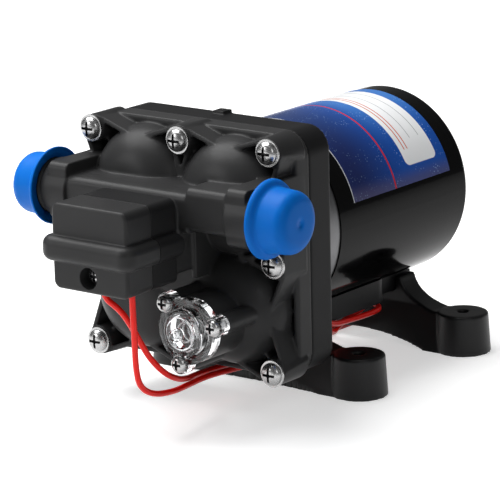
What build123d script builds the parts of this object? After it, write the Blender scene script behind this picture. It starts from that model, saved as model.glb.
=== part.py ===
from build123d import *
import os
from math import atan2, ceil, cos, degrees, pi, radians, sin, sqrt, tan

# Caravan water pump: a wobble-plate diaphragm head, a pressure switch and a
# permanent-magnet motor on a two-bar base. Origin at the centre of the four
# base holes on the floor, X to the right of the head, Y back along the motor, Z up.
os.makedirs("parts", exist_ok=True)

# Overall layout
foot_pitch_x = 86.4
foot_pitch_y = 70.2
seat_ahead_of_feet = 50.9
axis_height = 62.3
head_drop = 0.9
overrun = 1.0
part_gap = 0.1
running_gap = 0.05
seal_gap = 0.3

# Head cover
head_side = 91.8
head_corner_radius = 9.5
boss_height = 10.0
boss_radius = 5.5
boss_root_radius = 6.4
boss_reach = 46.9
boss_reach_radius = 8.4
flange_thickness = 8.0
rim_width = 2.4
rim_depth = 5.0
tray_side = 76.6
tray_corner_radius = 9.0
tray_front = 7.0
tray_wall = 2.2
flange_edge_round = 1.0
screw_half_pitch = 41.2
side_screw_offset = 42.6
wall_rib_thickness = 1.9
wall_rib_step = 0.8
wall_tangent_radius = 17.5
thin_web_thickness = 1.3
thin_web_step = 3.2
bar_root_depth = 5.0
dome_offset_x = 20.5
dome_upper_offset = 20.6
dome_lower_offset = 20.9
dome_radius = 22.0
dome_front = -7.0
dome_round = 15.5
dome_wall = 3.0
cavity_round = 11.0

# Ports and manifold
port_height = 19.4
port_forward = 11.3
port_bore_radius = 6.5
port_thread_radius = 10.45
port_root_radius = 9.3
port_thread_pitch = 1.81
port_thread_count = 7
port_collar_radius = 10.9
port_block_end = 46.0
port_collar_end = 48.6
port_tip = 61.9
port_block_width = 9.0
port_block_top = 30.7
port_block_bottom = 9.1
manifold_front = 20.5
manifold_top = 26.1
manifold_bottom = 11.1
manifold_round = 3.0
outlet_box_start = 19.0
outlet_box_top = 28.7
outlet_box_bottom = 12.5
centre_rib_start = 14.6
centre_rib_width = 2.2
centre_rib_front = 12.5
centre_rib_drop = 6.9
port_bore_end = 7.0
inlet_way_radius = 4.5
duct_width = 6.0

# Caps on the ports
cap_flange_radius = 14.6
cap_flange_width = 2.2
cap_start = 49.6
cap_length = 14.0
cap_wall = 1.25
cap_round = 2.4
cap_inner_round = 1.2
cap_taper = 0.35
cap_fit = 0.25
cap_lip = 0.9

# Valve plate, valves and diaphragm
plate_side = 69.6
plate_corner_radius = 8.0
valve_plate_thickness = 7.0
chamber_offset = 18.0
chamber_radius = 13.0
chamber_depth = 4.4
outlet_chamber_radius = 14.6
column_outer_radius = 16.8
column_front = 5.0
column_wall = 2.2
plenum_inner = 19.0
plenum_outer = 32.0
umbrella_radius = 5.5
umbrella_thickness = 0.8
umbrella_stem_radius = 1.2
umbrella_bead_radius = 1.9
umbrella_bead_length = 1.6
valve_hole_radius = 1.1
valve_hole_circle = 3.4
valve_hole_count = 3
outlet_hole_inset = 0.9
outlet_stem_inset = 0.6
outlet_hole_radius = 0.8
outlet_umbrella_radius = 14.3
diaphragm_thickness = 1.6
diaphragm_skin = 1.2
cup_mouth_radius = 13.5
cup_floor_radius = 8.8
cup_floor_depth = 4.9
cup_clearance_radius = 14.3

# Wobble drive
wobble_angle = 4.0
pivot_behind_seam = 4.0
piston_front = 1.0
piston_radius = 7.1
piston_thickness = 2.4
piston_boss_radius = 3.0
piston_screw_radius = 1.5
piston_screw_head_radius = 2.6
piston_screw_head_height = 1.4
piston_screw_length = 8.2
piston_screw_recess = 0.8
piston_chamfer = 0.5
pad_radius = 6.4
pad_start = 5.2
wobble_web_start = 6.6
wobble_web_end = 9.4
arm_width = 9.0
wobble_hub_radius = 16.6
wobble_hub_end = 18.5
web_eye_radius = 5.0
wobble_bearing_outer = 13.0
wobble_bearing_inner = 7.5
wobble_bearing_start = 9.6
wobble_bearing_end = 17.6
cam_collar_radius = 9.5
cam_shoulder_end = 19.5
cam_neck_radius = 6.5
cam_neck_overlap = 1.5
cam_neck_end = 21.0
cam_bore_start = 11.0
race_thickness = 1.6
groove_depth = 0.4
ball_count = 9

# Drive housing
housing_plate_depth = 13.0
housing_neck_end = 24.0
housing_rear_wall = 2.5
cup_pocket_depth = 7.5
nub_width = 5.0
nub_height = 1.3
nub_place = 1.5

# Motor
motor_radius = 37.2
motor_wall = 2.2
bell_step = 0.5
bell_radius = motor_radius - bell_step
neck_step = 1.0
housing_neck_radius = motor_radius - neck_step
housing_wall = 2.5
housing_cavity_radius = housing_neck_radius - housing_wall
bell_length = 7.3
bell_chamfer = 1.2
bell_floor = 1.0
bearing_boss_radius = 13.0
bell_spigot_length = 4.5
can_length = 73.6
rear_cap_step = 0.1
rear_cap_radius = motor_radius - rear_cap_step
rear_cap_length = 11.6
rear_cap_round = 2.3
rear_cap_wall = 2.4
rear_spigot_length = 5.0
label_start = 9.8
label_thickness = 0.17
label_film_gap = 0.02
label_edge_angle = 14.1
shaft_radius = 4.0
bearing_outer_radius = 11.0
bearing_width = 7.0
motor_ball_count = 8
magnet_thickness = 7.7
magnet_inner_radius = motor_radius - motor_wall - magnet_thickness
magnet_arc = 140.0
magnet_start = 12.0
magnet_length = 52.0
air_gap = 0.7
core_radius = magnet_inner_radius - air_gap
core_start = 15.0
core_length = 42.0
slot_count = 12
slot_width = 3.6
slot_opening = 1.6
slot_bottom_radius = 12.0
tooth_tip = 1.8
winding_overhang = 5.0
winding_round = 2.0
winding_inner_radius = 10.0
commutator_radius = 10.0
commutator_start = 64.0
commutator_length = 9.0
commutator_groove = 0.5
bolt_radius = 1.9
bolt_inset = 2.9
bolt_circle = motor_radius - motor_wall - bolt_inset
bolt_margin = 3.4
end_hollow_radius = bolt_circle - bolt_margin
bolt_angle = -10.0
bolt_front_gap = 0.6
bolt_head_radius = 3.6
bolt_head_height = 2.4
brush_width = 5.0
brush_height = 6.0
brush_space = end_hollow_radius - commutator_radius
brush_share = 0.48
brush_length = brush_space * brush_share
brush_spring_radius = 2.2
brush_spring_wire = 0.25
brush_spring_seat = 0.4
brush_spring_length = brush_space - brush_length - part_gap - brush_spring_seat
brush_spring_turns = 6
grommet_radius = 3.2
grommet_length = 5.0
grommet_lip = 0.9
grommet_x = -9.0
grommet_drop = 23.0

# Screws with pan heads and cross recesses
head_screw_head_radius = 4.3
head_screw_washer_radius = 5.1
head_screw_head_height = 3.2
head_screw_washer = 0.7
head_screw_radius = 2.0
head_screw_length = 27.0
head_screw_recess = 1.7
screw_shoulder_share = 0.82
screw_shoulder_rise_share = 0.66
recess_width = 1.0
recess_tip_share = 0.25
recess_lift = 0.25
recess_length_share = 0.62
screw_hole_gap = 0.2

# Check-valve assembly on the front
valve_x = 21.0
valve_drop = 23.4
barrel_front = 20.0
barrel_radius = 12.2
barrel_bore_radius = 8.2
barrel_bore_depth = 13.0
valve_seat_radius = 3.6
ear_circle = 13.1
ear_step = 0.6
ear_radius = 3.9
ear_angles = (15.0, 135.0, 255.0)
ear_boss_radius = 3.7
cover_thickness = 4.0
cover_rim_width = 2.0
cover_rim_height = 0.9
cover_dome_radius = 8.9
cover_dome_height = 3.0
cover_dome_round = 1.2
cover_step_radius = 6.3
cover_step_height = 1.6
cover_step_round = 0.8
cover_stem_radius = 2.4
cover_stem_height = 3.4
cover_stem_chamfer = 0.5
cover_wall = 1.6
cover_hole_radius = 1.15
cover_hole_depth = 3.0
poppet_radius = 6.4
poppet_disc = 2.2
poppet_stem_radius = 1.9
poppet_stem_length = 9.0
valve_spring_radius = 3.6
valve_spring_wire = 0.4
valve_spring_turns = 5
valve_screw_head_radius = 3.1
valve_screw_washer_radius = 3.3
valve_screw_head_height = 2.3
valve_screw_washer = 0.4
valve_screw_recess = 1.3
valve_screw_radius = 1.4
valve_screw_length = 14.0
ring_radius = 10.2
ring_groove_width = 2.0
ring_groove_depth = 1.3

# Pressure switch
switch_half_width = 17.4
switch_bottom = -6.2
switch_top = 25.5
switch_pad_front = 24.0
switch_pad_half_width = 15.4
switch_pad_bottom = -4.3
switch_pad_top = 23.1
switch_split = 38.0
switch_front = 52.0
switch_corner = 3.0
switch_edge_round = 1.2
switch_wall = 2.0
belt_height = 9.4
belt_centre = 8.9
belt_proud = 3.9
belt_round = 3.4
adjuster_x = -0.9
adjuster_z = -0.6
adjuster_hole_radius = 3.9
adjuster_radius = 3.0
adjuster_recess = 5.2
adjuster_thread_radius = 1.9
adjuster_length = 2.6
adjuster_head_height = 2.0
adjuster_screw_recess = 1.1
adjuster_well_wall = 0.6
adjuster_nut = 2.2
sense_z = 8.9
sense_radius = 9.0
sense_cavity_depth = 9.3
sense_hole_radius = 2.5
switch_diaphragm_thickness = 1.0
plunger_disc = 1.6
plunger_disc_radius = 6.0
plunger_stem_radius = 2.4
plunger_travel = 0.9
switch_spring_radius = 4.6
switch_spring_wire = 0.45
switch_spring_turns = 4
microswitch_width = 27.8
microswitch_height = 15.9
microswitch_depth = 10.3
micro_set_in = 1.0
micro_rise = 4.05
micro_button_height = 0.8
micro_post_place = 9.0
microswitch_button_radius = 1.1
terminal_width = 4.8
terminal_thickness = 0.8
terminal_length = 7.0

# Base: two rubber bars and a saddle
foot_height = 15.9
foot_base_radius = 10.9
foot_top_radius = 9.9
foot_edge_round = 0.9
foot_hole_radius = 2.2
saddle_floor = 3.7
bar_middle_height = axis_height - motor_radius - saddle_floor
bar_tip_rise = 5.6
bar_tip_height = bar_middle_height + bar_tip_rise
bar_tip_lean = 0.25
bar_slope_x = 32.0
bar_slope_rise = 0.4
bar_slope_share = 0.3
bar_tip_width = 2.6
bar_middle_half_width = 14.2
bar_arch_height = 4.6
bar_arch_half_width = 30.0
bar_base_half_depth = 9.6
bar_top_half_depth = 5.0
bar_shoulder_drop = 4.4
bar_shoulder_height = bar_middle_height - bar_shoulder_drop
saddle_half_width = 20.6
saddle_rear = 103.0
saddle_rise = 5.6
saddle_corner = 7.0
tongue_half_width = 13.8
tongue_reach = 6.0
saddle_screw_radius = 2.0
saddle_screw_head_radius = 3.8
saddle_screw_head_height = 2.4
saddle_screw_seat = 5.0
saddle_screw_grip = 3.0
saddle_screw_length = bar_middle_height - saddle_screw_seat + saddle_screw_grip
saddle_screw_recess = 1.4
saddle_screw_x = 8.5

# Wires
wire_radius = 1.15
lead_arc_share = 0.45
strand_radius = 0.6
strand_length = 6.0
coil_start_radius = 15.3
coil_pitch = 2.9
coil_turns = 2
coil_rise = 2.9
coil_tangent_step = 0.01
coil_points_per_turn = 4
coil_climb_share = 0.5
gap_samples_per_arc = 4

# Each route is a list of points chosen along the lead as it lies, in mm from the origin.
switch_lead_route = [
    (-2.4, -129.0, 60.0), (-2.4, -129.0, 53.0), (2.5, -125.2, 48.0), (5.7, -123.0, 42.0), (7.6, -120.0, 34.5),
    (9.3, -116.4, 27.6), (11.0, -111.0, 21.6), (10.2, -103.0, 17.4), (6.0, -92.0, 14.2), (1.2, -80.0, 12.2),
    (0.6, -66.0, 11.4), (5.2, -54.5, 12.6), (15.0, -48.4, 18.8), (22.4, -38.6, 25.2), (23.8, -30.0, 23.8),
    (22.6, -22.0, 20.9), (20.3, -12.5, 19.4), (19.6, -2.0, 18.6), (19.4, 8.0, 18.2), (17.6, 15.2, 18.0),
    (11.0, 19.4, 18.6), (2.5, 19.8, 15.8), (-5.2, 19.2, 11.2), (-11.4, 19.4, 5.8), (-14.4, 23.3, 2.1),
    (-14.4, 29.5, 1.3), (-14.3, 37.0, 1.2), (-14.0, 43.8, 1.3), (-12.4, 50.6, 2.4), (-10.4, 57.4, 6.4),
    (-9.0, 63.2, 12.4), (-8.4, 66.6, 20.0), (-8.5, 67.2, 28.2), (-8.8, 64.4, 35.6), (-9.0, 58.0, 39.3),
    (-9.0, 51.4, 39.3)]
supply_lead_route = [
    (11.7, -129.0, 60.0), (11.7, -129.0, 51.5), (12.0, -128.8, 40.0), (10.8, -127.3, 28.0),
    (10.0, -124.4, 19.6), (10.4, -117.0, 15.0), (10.0, -105.0, 13.2), (7.4, -93.0, 12.4),
    (5.2, -80.0, 11.8), (5.4, -67.0, 11.0), (9.8, -55.4, 11.6), (19.4, -47.8, 16.6),
    (25.4, -37.8, 22.3), (25.2, -29.5, 20.7), (21.5, -21.5, 17.2), (17.2, -13.0, 16.9),
    (15.5, -3.0, 18.6), (15.3, 5.0, 19.0), (12.2, 11.8, 19.2), (4.5, 14.6, 16.8),
    (-4.5, 14.0, 12.4), (-12.6, 14.0, 7.0), (-17.2, 17.8, 3.0), (-17.4, 24.8, 1.3),
    (-17.2, 31.5, 1.2), (-17.4, 37.4, 1.2), (-17.7, 42.5, 1.2), (-19.9, 46.4, 1.2), (-23.7, 48.7, 1.2),
    (-28.0, 48.7, 1.2)]

# Places along Y, worked out from the sizes above
seat = -foot_pitch_y / 2 - seat_ahead_of_feet
flange_front = seat + boss_height
seam = flange_front + flange_thickness
dome_face = seat + dome_front
plate_front = seam - valve_plate_thickness
housing_back = seam + housing_plate_depth
neck_back = seam + housing_neck_end
can_front = neck_back + bell_length
can_back = can_front + can_length
motor_back = can_back + rear_cap_length
port_y = seat - port_forward
port_z = axis_height + port_height
head_z = axis_height - head_drop
pivot_y = seam + pivot_behind_seam
head_half = head_side / 2


def rod(radius, y_from, y_to, x=0, z=0):
    """Solid cylinder along Y."""
    middle = (y_from + y_to) / 2
    return Pos(x, middle, z) * Rot(90, 0, 0) * Cylinder(radius, y_to - y_from)


def rod_x(radius, x_from, x_to, y=0, z=0):
    """Solid cylinder along X."""
    middle = (x_from + x_to) / 2
    return Pos(middle, y, z) * Rot(0, 90, 0) * Cylinder(radius, x_to - x_from)


def rod_z(radius, z_from, z_to, x=0, y=0):
    """Solid cylinder along Z."""
    middle = (z_from + z_to) / 2
    return Pos(x, y, middle) * Cylinder(radius, z_to - z_from)


def cone_y(radius_from, radius_to, y_from, y_to, x=0, z=0):
    """Solid cone along Y with the first radius at the front."""
    middle = (y_from + y_to) / 2
    return Pos(x, middle, z) * Rot(90, 0, 0) * Cone(radius_to, radius_from, y_to - y_from)


def block(x_from, x_to, y_from, y_to, z_from, z_to):
    """Solid box between two corners."""
    middle = Pos((x_from + x_to) / 2, (y_from + y_to) / 2, (z_from + z_to) / 2)
    return middle * Box(x_to - x_from, y_to - y_from, z_to - z_from)


def plate(outline, y_from, y_to, x=0, z=0):
    """A flat outline drawn in X and Z, given its thickness along Y."""
    plane = Plane(origin=(x, y_to, z), x_dir=(1, 0, 0), z_dir=(0, -1, 0))
    return extrude(plane * outline, amount=y_to - y_from)


def square_plate(side, corner, y_from, y_to):
    return plate(RectangleRounded(side, side, corner), y_from, y_to, 0, head_z)


def at_head(x, z):
    """A place on the head, measured from the motor axis."""
    return (x, axis_height + z)


def quarters(offset_x, offset_z):
    """The four places of one piece in each quarter of the head."""
    return [(sx * offset_x, sz * offset_z) for sx in (-1, 1) for sz in (1, -1)]


def save(shape, name):
    export_step(shape, f"parts/{name}.step")


def group(solids):
    return Compound(children=list(solids))


def biarc_path(points, tangents):
    """A smooth path of two tangent arcs between each pair of points."""
    edges = []
    for start, end, go, arrive in zip(points, points[1:], tangents, tangents[1:]):
        span = end - start
        both = go + arrive
        a = 2 * (1 - go.dot(arrive))
        b = span.dot(both)
        reach = (-b + sqrt(b * b + a * span.dot(span))) / a
        joint = (start + go * reach + end - arrive * reach) / 2
        first = Edge.make_tangent_arc(start, go, joint)
        edges += [first, Edge.make_tangent_arc(joint, first.tangent_at(1), end)]
    return edges


def swept(edges, radius):
    """One round tube along a path."""
    path = Wire(edges)
    section = Plane(origin=path.position_at(0), z_dir=path.tangent_at(0)) * Circle(radius)
    return sweep(section, path=path)


def spring(radius, wire, length, turns):
    """A coil spring along Z from its own base, its ends cut square to the wire."""
    steps = 4 * turns
    rise = (length - 2 * wire) / steps
    points = []
    tangents = []
    for step in range(steps + 1):
        turn = 2 * pi * step / 4
        points.append(Vector(radius * cos(turn), radius * sin(turn), wire + rise * step))
        slope = rise * 4 / (2 * pi)
        tangents.append(Vector(-radius * sin(turn), radius * cos(turn), slope).normalized())
    gap = rise * 4 - 2 * wire
    print(f"spring of {turns} turns, least gap to itself {gap:.2f} mm")
    return swept(biarc_path(points, tangents), wire)


def cross_recess(radius, depth):
    """The cross cut into a screw head that faces up at z = 0."""
    length = 2 * radius * recess_length_share
    bar = Pos(0, 0, -depth / 2) * Box(length, recess_width, depth)
    below = (Align.CENTER, Align.CENTER, Align.MAX)
    pit = Cone(recess_width * recess_tip_share, recess_width, depth, align=below)
    return bar + Rot(0, 0, 90) * bar + pit


def pan_screw(head_radius, washer_radius, head_height, washer, shank_radius, length, depth):
    """A pan-head screw whose seat is at z = 0 and whose head is above it."""
    rise = head_height - washer
    with BuildSketch(Plane.XZ) as half:
        with BuildLine():
            Polyline((0, -length), (shank_radius / 2, -length), (shank_radius, -length + shank_radius),
                     (shank_radius, 0), (washer_radius, 0), (washer_radius, washer), (head_radius, washer))
            shoulder = (head_radius * screw_shoulder_share, washer + rise * screw_shoulder_rise_share)
            Spline((head_radius, washer), shoulder, (0, head_height), tangents=((0, 1), (-1, 0)))
            Line((0, head_height), (0, -length))
        make_face()
    screw = revolve(half.sketch, Axis.Z)
    return screw - Pos(0, 0, head_height + recess_lift) * cross_recess(head_radius, depth)


def facing_front(shape, x, y, z):
    """A piece drawn facing up, turned to face the front of the pump."""
    return Pos(x, y, z) * Rot(90, 0, 0) * shape


# Pump head cover

head_screw_places = quarters(screw_half_pitch, screw_half_pitch) + [
    (0, screw_half_pitch), (0, -screw_half_pitch), (-side_screw_offset, 0), (side_screw_offset, 0)]
boss_places = [(x, z - head_drop) for x, z in head_screw_places]
dome_places = [(sx * dome_offset_x, sz) for sx in (-1, 1) for sz in (dome_upper_offset, -dome_lower_offset)]
chamber_places = quarters(chamber_offset, chamber_offset)
barrel_z = axis_height - valve_drop
barrel_face = seat - barrel_front
recess_floor = flange_front + rim_depth
ear_places = [(valve_x + ear_circle * cos(radians(angle)), barrel_z + ear_circle * sin(radians(angle)))
              for angle in ear_angles]


def dome(radius, front, roundness, x, z):
    """A drum that ends in a rounded bulb towards the front."""
    body = rod(radius, front, plate_front, x, z)
    return fillet(body.edges().group_by(Axis.Y)[0], roundness)


def boss_form(x, z):
    """The screw boss with its thin walls and web to each dome beside it."""
    form = cone_y(boss_radius, boss_root_radius, seat, recess_floor, *at_head(x, z))
    for centre in dome_places:
        away = Vector(centre[0] - x, centre[1] - z)
        if away.length > dome_radius * 2:
            continue
        offset = wall_tangent_radius - boss_radius
        length = sqrt(away.length * away.length - offset * offset)
        for side in (1, -1):
            turn = degrees(atan2(away.Y, away.X)) + side * degrees(atan2(offset, length))
            bar = Pos(length / 2, side * (boss_radius - wall_rib_thickness / 2)) * Rectangle(
                length, wall_rib_thickness)
            wall = Pos(x, z) * Rot(0, 0, turn) * bar
            form += plate(wall, seat + wall_rib_step, recess_floor, 0, axis_height)
        turn = degrees(atan2(away.Y, away.X))
        bar = Pos(away.length / 2, 0) * Rectangle(away.length, thin_web_thickness)
        form += plate(Pos(x, z) * Rot(0, 0, turn) * bar, seat + thin_web_step, recess_floor, 0, axis_height)
    return form


def port_form(side):
    """One port: its block on the manifold, collar, root tube and thread."""
    near, far = sorted((side * (port_block_end - port_block_width), side * port_block_end))
    form = block(near, far, seat - manifold_front, recess_floor,
                 axis_height + port_block_bottom, axis_height + port_block_top)
    form = fillet(form.edges().filter_by(Axis.X), manifold_round)
    near, far = sorted((side * (port_block_end - port_block_width), side * port_collar_end))
    form += rod_x(port_collar_radius, near, far, port_y, port_z)
    near, far = sorted((side * port_collar_end, side * port_tip))
    form += rod_x(port_root_radius, near, far, port_y, port_z)
    depth = port_thread_radius - port_root_radius
    with BuildSketch(Plane.XY) as tooth:
        with BuildLine():
            Polyline((-depth / 2, 0), (0, 0), (depth, port_thread_pitch / 2), (0, port_thread_pitch),
                     (-depth / 2, port_thread_pitch), close=True)
        make_face()
    ridge = revolve(Pos(port_root_radius, 0, 0) * tooth.sketch, Axis.Y)
    for count in range(port_thread_count):
        reach = port_collar_end + (count + 1) * port_thread_pitch / 2 + count * port_thread_pitch / 2
        form += Pos(side * reach, port_y, port_z) * Rot(0, 0, -side * 90) * ridge
    return form


def cover_outside():
    """The outer form of the moulding before anything is hollowed."""
    cover = square_plate(head_side, head_corner_radius, flange_front, seam)
    cover = fillet(cover.faces().sort_by(Axis.Y)[0].outer_wire().edges(), flange_edge_round)
    inside = head_corner_radius - rim_width
    cover -= square_plate(head_side - 2 * rim_width, inside, flange_front - overrun, recess_floor)
    cover += square_plate(tray_side, tray_corner_radius, seat + tray_front, recess_floor)
    bosses = boss_form(*boss_places[0])
    for place in boss_places[1:]:
        bosses += boss_form(*place)
    cover += bosses & square_plate(2 * boss_reach, boss_reach_radius, seat, recess_floor)
    for x, z in dome_places:
        cover += dome(dome_radius, dome_face, dome_round, *at_head(x, z))
    bar = block(-port_block_end + port_block_width, outlet_box_start, seat - manifold_front,
                seat + bar_root_depth, axis_height + manifold_bottom, axis_height + manifold_top)
    cover += fillet(bar.edges().filter_by(Axis.X), manifold_round)
    box = block(outlet_box_start, port_block_end, seat - manifold_front, seat + bar_root_depth,
                axis_height + outlet_box_bottom, axis_height + outlet_box_top)
    cover += fillet(box.edges().filter_by(Axis.X), manifold_round)
    pad = block(-switch_pad_half_width, switch_pad_half_width, seat - switch_pad_front, seat,
                axis_height + switch_pad_bottom, axis_height + switch_pad_top)
    cover += fillet(pad.edges().filter_by(Axis.Y), switch_corner)
    cover += rod(column_outer_radius, seat - column_front, plate_front, 0, axis_height)
    for side in (-1, 1):
        cover += port_form(side)
    cover += rod(barrel_radius, barrel_face, plate_front, valve_x, barrel_z)
    for x, z in ear_places:
        cover += rod(ear_boss_radius, barrel_face, seat, x, z)
    rib = block(centre_rib_start, centre_rib_start + centre_rib_width, seat - centre_rib_front, seat,
                axis_height - centre_rib_drop, axis_height + manifold_bottom)
    return cover + rib


def cover_passages():
    """The water ways: inlet round the domes, outlet up the centre column, and the check valve."""
    ways = square_plate(plate_side + 2 * part_gap, plate_corner_radius + part_gap, plate_front,
                        seam + overrun)
    inner = dome_radius - dome_wall
    hollow = dome(inner, dome_face + dome_wall, cavity_round, *at_head(*dome_places[0]))
    for place in dome_places[1:]:
        hollow += dome(inner, dome_face + dome_wall, cavity_round, *at_head(*place))
    across = plenum_outer - plenum_inner
    middle = (plenum_outer + plenum_inner) / 2
    for x, z in ((0, middle), (0, -middle), (middle, 0), (-middle, 0)):
        half_x = across / 2 if x else dome_offset_x
        half_z = across / 2 if z else dome_offset_x
        hollow += block(x - half_x, x + half_x, seat + tray_front + tray_wall, plate_front,
                        axis_height + z - half_z, axis_height + z + half_z)
    ways += hollow - rod(column_outer_radius, seat - column_front, plate_front, 0, axis_height)
    ways += rod(outlet_chamber_radius, seat - column_front + column_wall, plate_front + overrun,
                0, axis_height)
    for side in (-1, 1):
        near, far = sorted((side * port_bore_end, side * (port_tip + overrun)))
        ways += rod_x(port_bore_radius, near, far, port_y, port_z)
    ways += rod(inlet_way_radius, port_y, seat, -dome_offset_x, port_z)
    ways += block(port_bore_end, port_bore_end + duct_width, port_y - duct_width / 2, seat,
                  axis_height, port_z)
    ways += rod(sense_hole_radius, seat - switch_pad_front - overrun, seat, 0, axis_height + sense_z)
    chamber_back = barrel_face + barrel_bore_depth
    ways += rod(barrel_bore_radius, barrel_face - overrun, chamber_back, valve_x, barrel_z)
    ways += rod(valve_seat_radius, chamber_back, seat, valve_x, barrel_z)
    half_width = ring_groove_width / 2
    floor = barrel_face + ring_groove_depth
    groove = rod(ring_radius + half_width, barrel_face - overrun, floor, valve_x, barrel_z)
    ways += groove - rod(ring_radius - half_width, barrel_face - overrun, floor, valve_x, barrel_z)
    return ways


def valve_screw_holes():
    radius = valve_screw_radius + screw_hole_gap
    end = barrel_face + valve_screw_length
    return [rod(radius, barrel_face - overrun, end, x, z) for x, z in ear_places]


def pump_head():
    cover = cover_outside() - cover_passages()
    for place in boss_places:
        cover -= rod(head_screw_radius + screw_hole_gap, seat - overrun, seam + overrun, *at_head(*place))
    for hole in valve_screw_holes():
        cover -= hole
    return cover


def head_screws():
    """Eight pan-head screws, each in a washer ring, through the head into the housing."""
    screw = pan_screw(head_screw_head_radius, head_screw_washer_radius, head_screw_head_height,
                      head_screw_washer, head_screw_radius, head_screw_length, head_screw_recess)
    return group(facing_front(screw, x, seat, axis_height + z) for x, z in boss_places)


# Valve plate, valves and diaphragm

def valve_plate():
    """The plate behind the cover with four pumping chambers and the outlet valve's cup."""
    back = seam
    body = square_plate(plate_side, plate_corner_radius, plate_front + part_gap, back)
    floor = back - chamber_depth
    for x, z in chamber_places:
        place = at_head(x, z)
        body -= rod(chamber_radius, floor, back + overrun, *place)
        body -= rod(umbrella_stem_radius + part_gap, plate_front - overrun, floor + overrun, *place)
        for step in range(valve_hole_count):
            turn = 2 * pi * step / valve_hole_count
            hole = (place[0] + valve_hole_circle * cos(turn), place[1] + valve_hole_circle * sin(turn))
            body -= rod(valve_hole_radius, plate_front - overrun, floor + overrun, *hole)
        inward = (place[0] - (chamber_radius - outlet_hole_inset) * (1 if x > 0 else -1) * sqrt(2) / 2,
                  place[1] - (chamber_radius - outlet_hole_inset) * (1 if z > 0 else -1) * sqrt(2) / 2)
        body -= rod(outlet_hole_radius, plate_front - overrun, floor + overrun, *inward)
    body -= rod(umbrella_stem_radius + part_gap, plate_front - overrun, back + overrun, 0, axis_height)
    return body


def inlet_valves():
    """Four rubber umbrella valves: a thin hat in each chamber and a bead in front of the plate."""
    floor = seam - chamber_depth
    front = plate_front + part_gap
    solids = []
    for x, z in chamber_places:
        hat = rod(umbrella_radius, floor, floor + umbrella_thickness, *at_head(x, z))
        stem = rod(umbrella_stem_radius, front, floor, *at_head(x, z))
        bead = rod(umbrella_bead_radius, front - umbrella_bead_length, front, *at_head(x, z))
        solids.append(hat + stem + bead)
    return group(solids)


def outlet_valve():
    """One wide umbrella valve over the outlet holes of all four chambers."""
    front = plate_front + part_gap
    hat = rod(outlet_umbrella_radius, front - umbrella_thickness, front, 0, axis_height)
    return hat + rod(umbrella_stem_radius, front, seam - outlet_stem_inset, 0, axis_height)


def tilted(shape):
    """Turn a piece drawn on the straight shaft axis onto the wobble axis."""
    return Pos(0, pivot_y, axis_height) * Rot(wobble_angle, 0, 0) * Pos(0, -pivot_y, -axis_height) * shape


def diaphragm():
    """One rubber sheet with four cups, clamped round its rim and between each piston and its pad."""
    back = seam + part_gap + diaphragm_thickness
    sheet = square_plate(plate_side, plate_corner_radius, seam + part_gap, back)
    floor_back = seam + cup_floor_depth
    for x, z in chamber_places:
        mouth = Plane(origin=(x, seam, axis_height + z), x_dir=(1, 0, 0), z_dir=(0, 1, 0))
        mouth_back = Plane(origin=(x, back, axis_height + z), x_dir=(1, 0, 0), z_dir=(0, 1, 0))
        outer = loft([mouth_back * Circle(cup_mouth_radius), cup_ring(x, z, floor_back, cup_floor_radius)])
        inner = loft([mouth * Circle(cup_mouth_radius - diaphragm_skin),
                      cup_ring(x, z, floor_back - diaphragm_skin, cup_floor_radius - diaphragm_skin)])
        sheet = sheet + outer - inner
        sheet -= tilted(rod(piston_boss_radius + seal_gap, seam, floor_back + overrun, *at_head(x, z)))
    return sheet


def cup_ring(x, z, y, radius):
    """The circle of a cup's floor on the tilted plane of the wobble plate."""
    ring = Plane(origin=(x, y, axis_height + z), x_dir=(1, 0, 0), z_dir=(0, 1, 0)) * Circle(radius)
    return tilted(ring)


# Wobble drive

def piston_plates():
    """Four discs that press the diaphragm onto the wobble plate, each bored for its screw."""
    front = seam + piston_front
    back = front + piston_thickness
    solids = []
    for x, z in chamber_places:
        disc = rod(piston_radius, front, back, *at_head(x, z))
        disc = chamfer(disc.edges().group_by(Axis.Y)[0], piston_chamfer)
        disc += rod(piston_boss_radius, back, seam + pad_start, *at_head(x, z))
        disc -= rod(piston_screw_radius + part_gap, front - overrun, seam + pad_start + overrun,
                    *at_head(x, z))
        solids.append(tilted(disc))
    return group(solids)


def piston_screws():
    screw = pan_screw(piston_screw_head_radius, piston_screw_head_radius + part_gap,
                      piston_screw_head_height, part_gap, piston_screw_radius, piston_screw_length,
                      piston_screw_recess)
    face = seam + piston_front
    return group(tilted(facing_front(screw, x, face, axis_height + z)) for x, z in chamber_places)


def wobble_plate():
    """The nutating plate: a hub round its bearing and four arms with a pad behind each piston."""
    web = rod(wobble_hub_radius, seam + wobble_web_start, seam + wobble_hub_end, 0, axis_height)
    for x, z in chamber_places:
        reach = Vector(x, z).length
        turn = degrees(atan2(z, x))
        arm = Rot(0, 0, turn) * Pos(reach / 2, 0) * Rectangle(reach, arm_width)
        web += plate(arm, seam + wobble_web_start, seam + wobble_web_end, 0, axis_height)
        web += rod(pad_radius, seam + pad_start, seam + wobble_web_end, *at_head(x, z))
    web -= rod(wobble_bearing_outer + running_gap, seam + wobble_bearing_start - running_gap,
               seam + wobble_hub_end + overrun, 0, axis_height)
    web -= rod(web_eye_radius, seam, seam + wobble_bearing_start + overrun, 0, axis_height)
    for x, z in chamber_places:
        web -= rod(piston_screw_radius + part_gap, seam, seam + wobble_hub_end, *at_head(x, z))
    return tilted(web)


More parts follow.
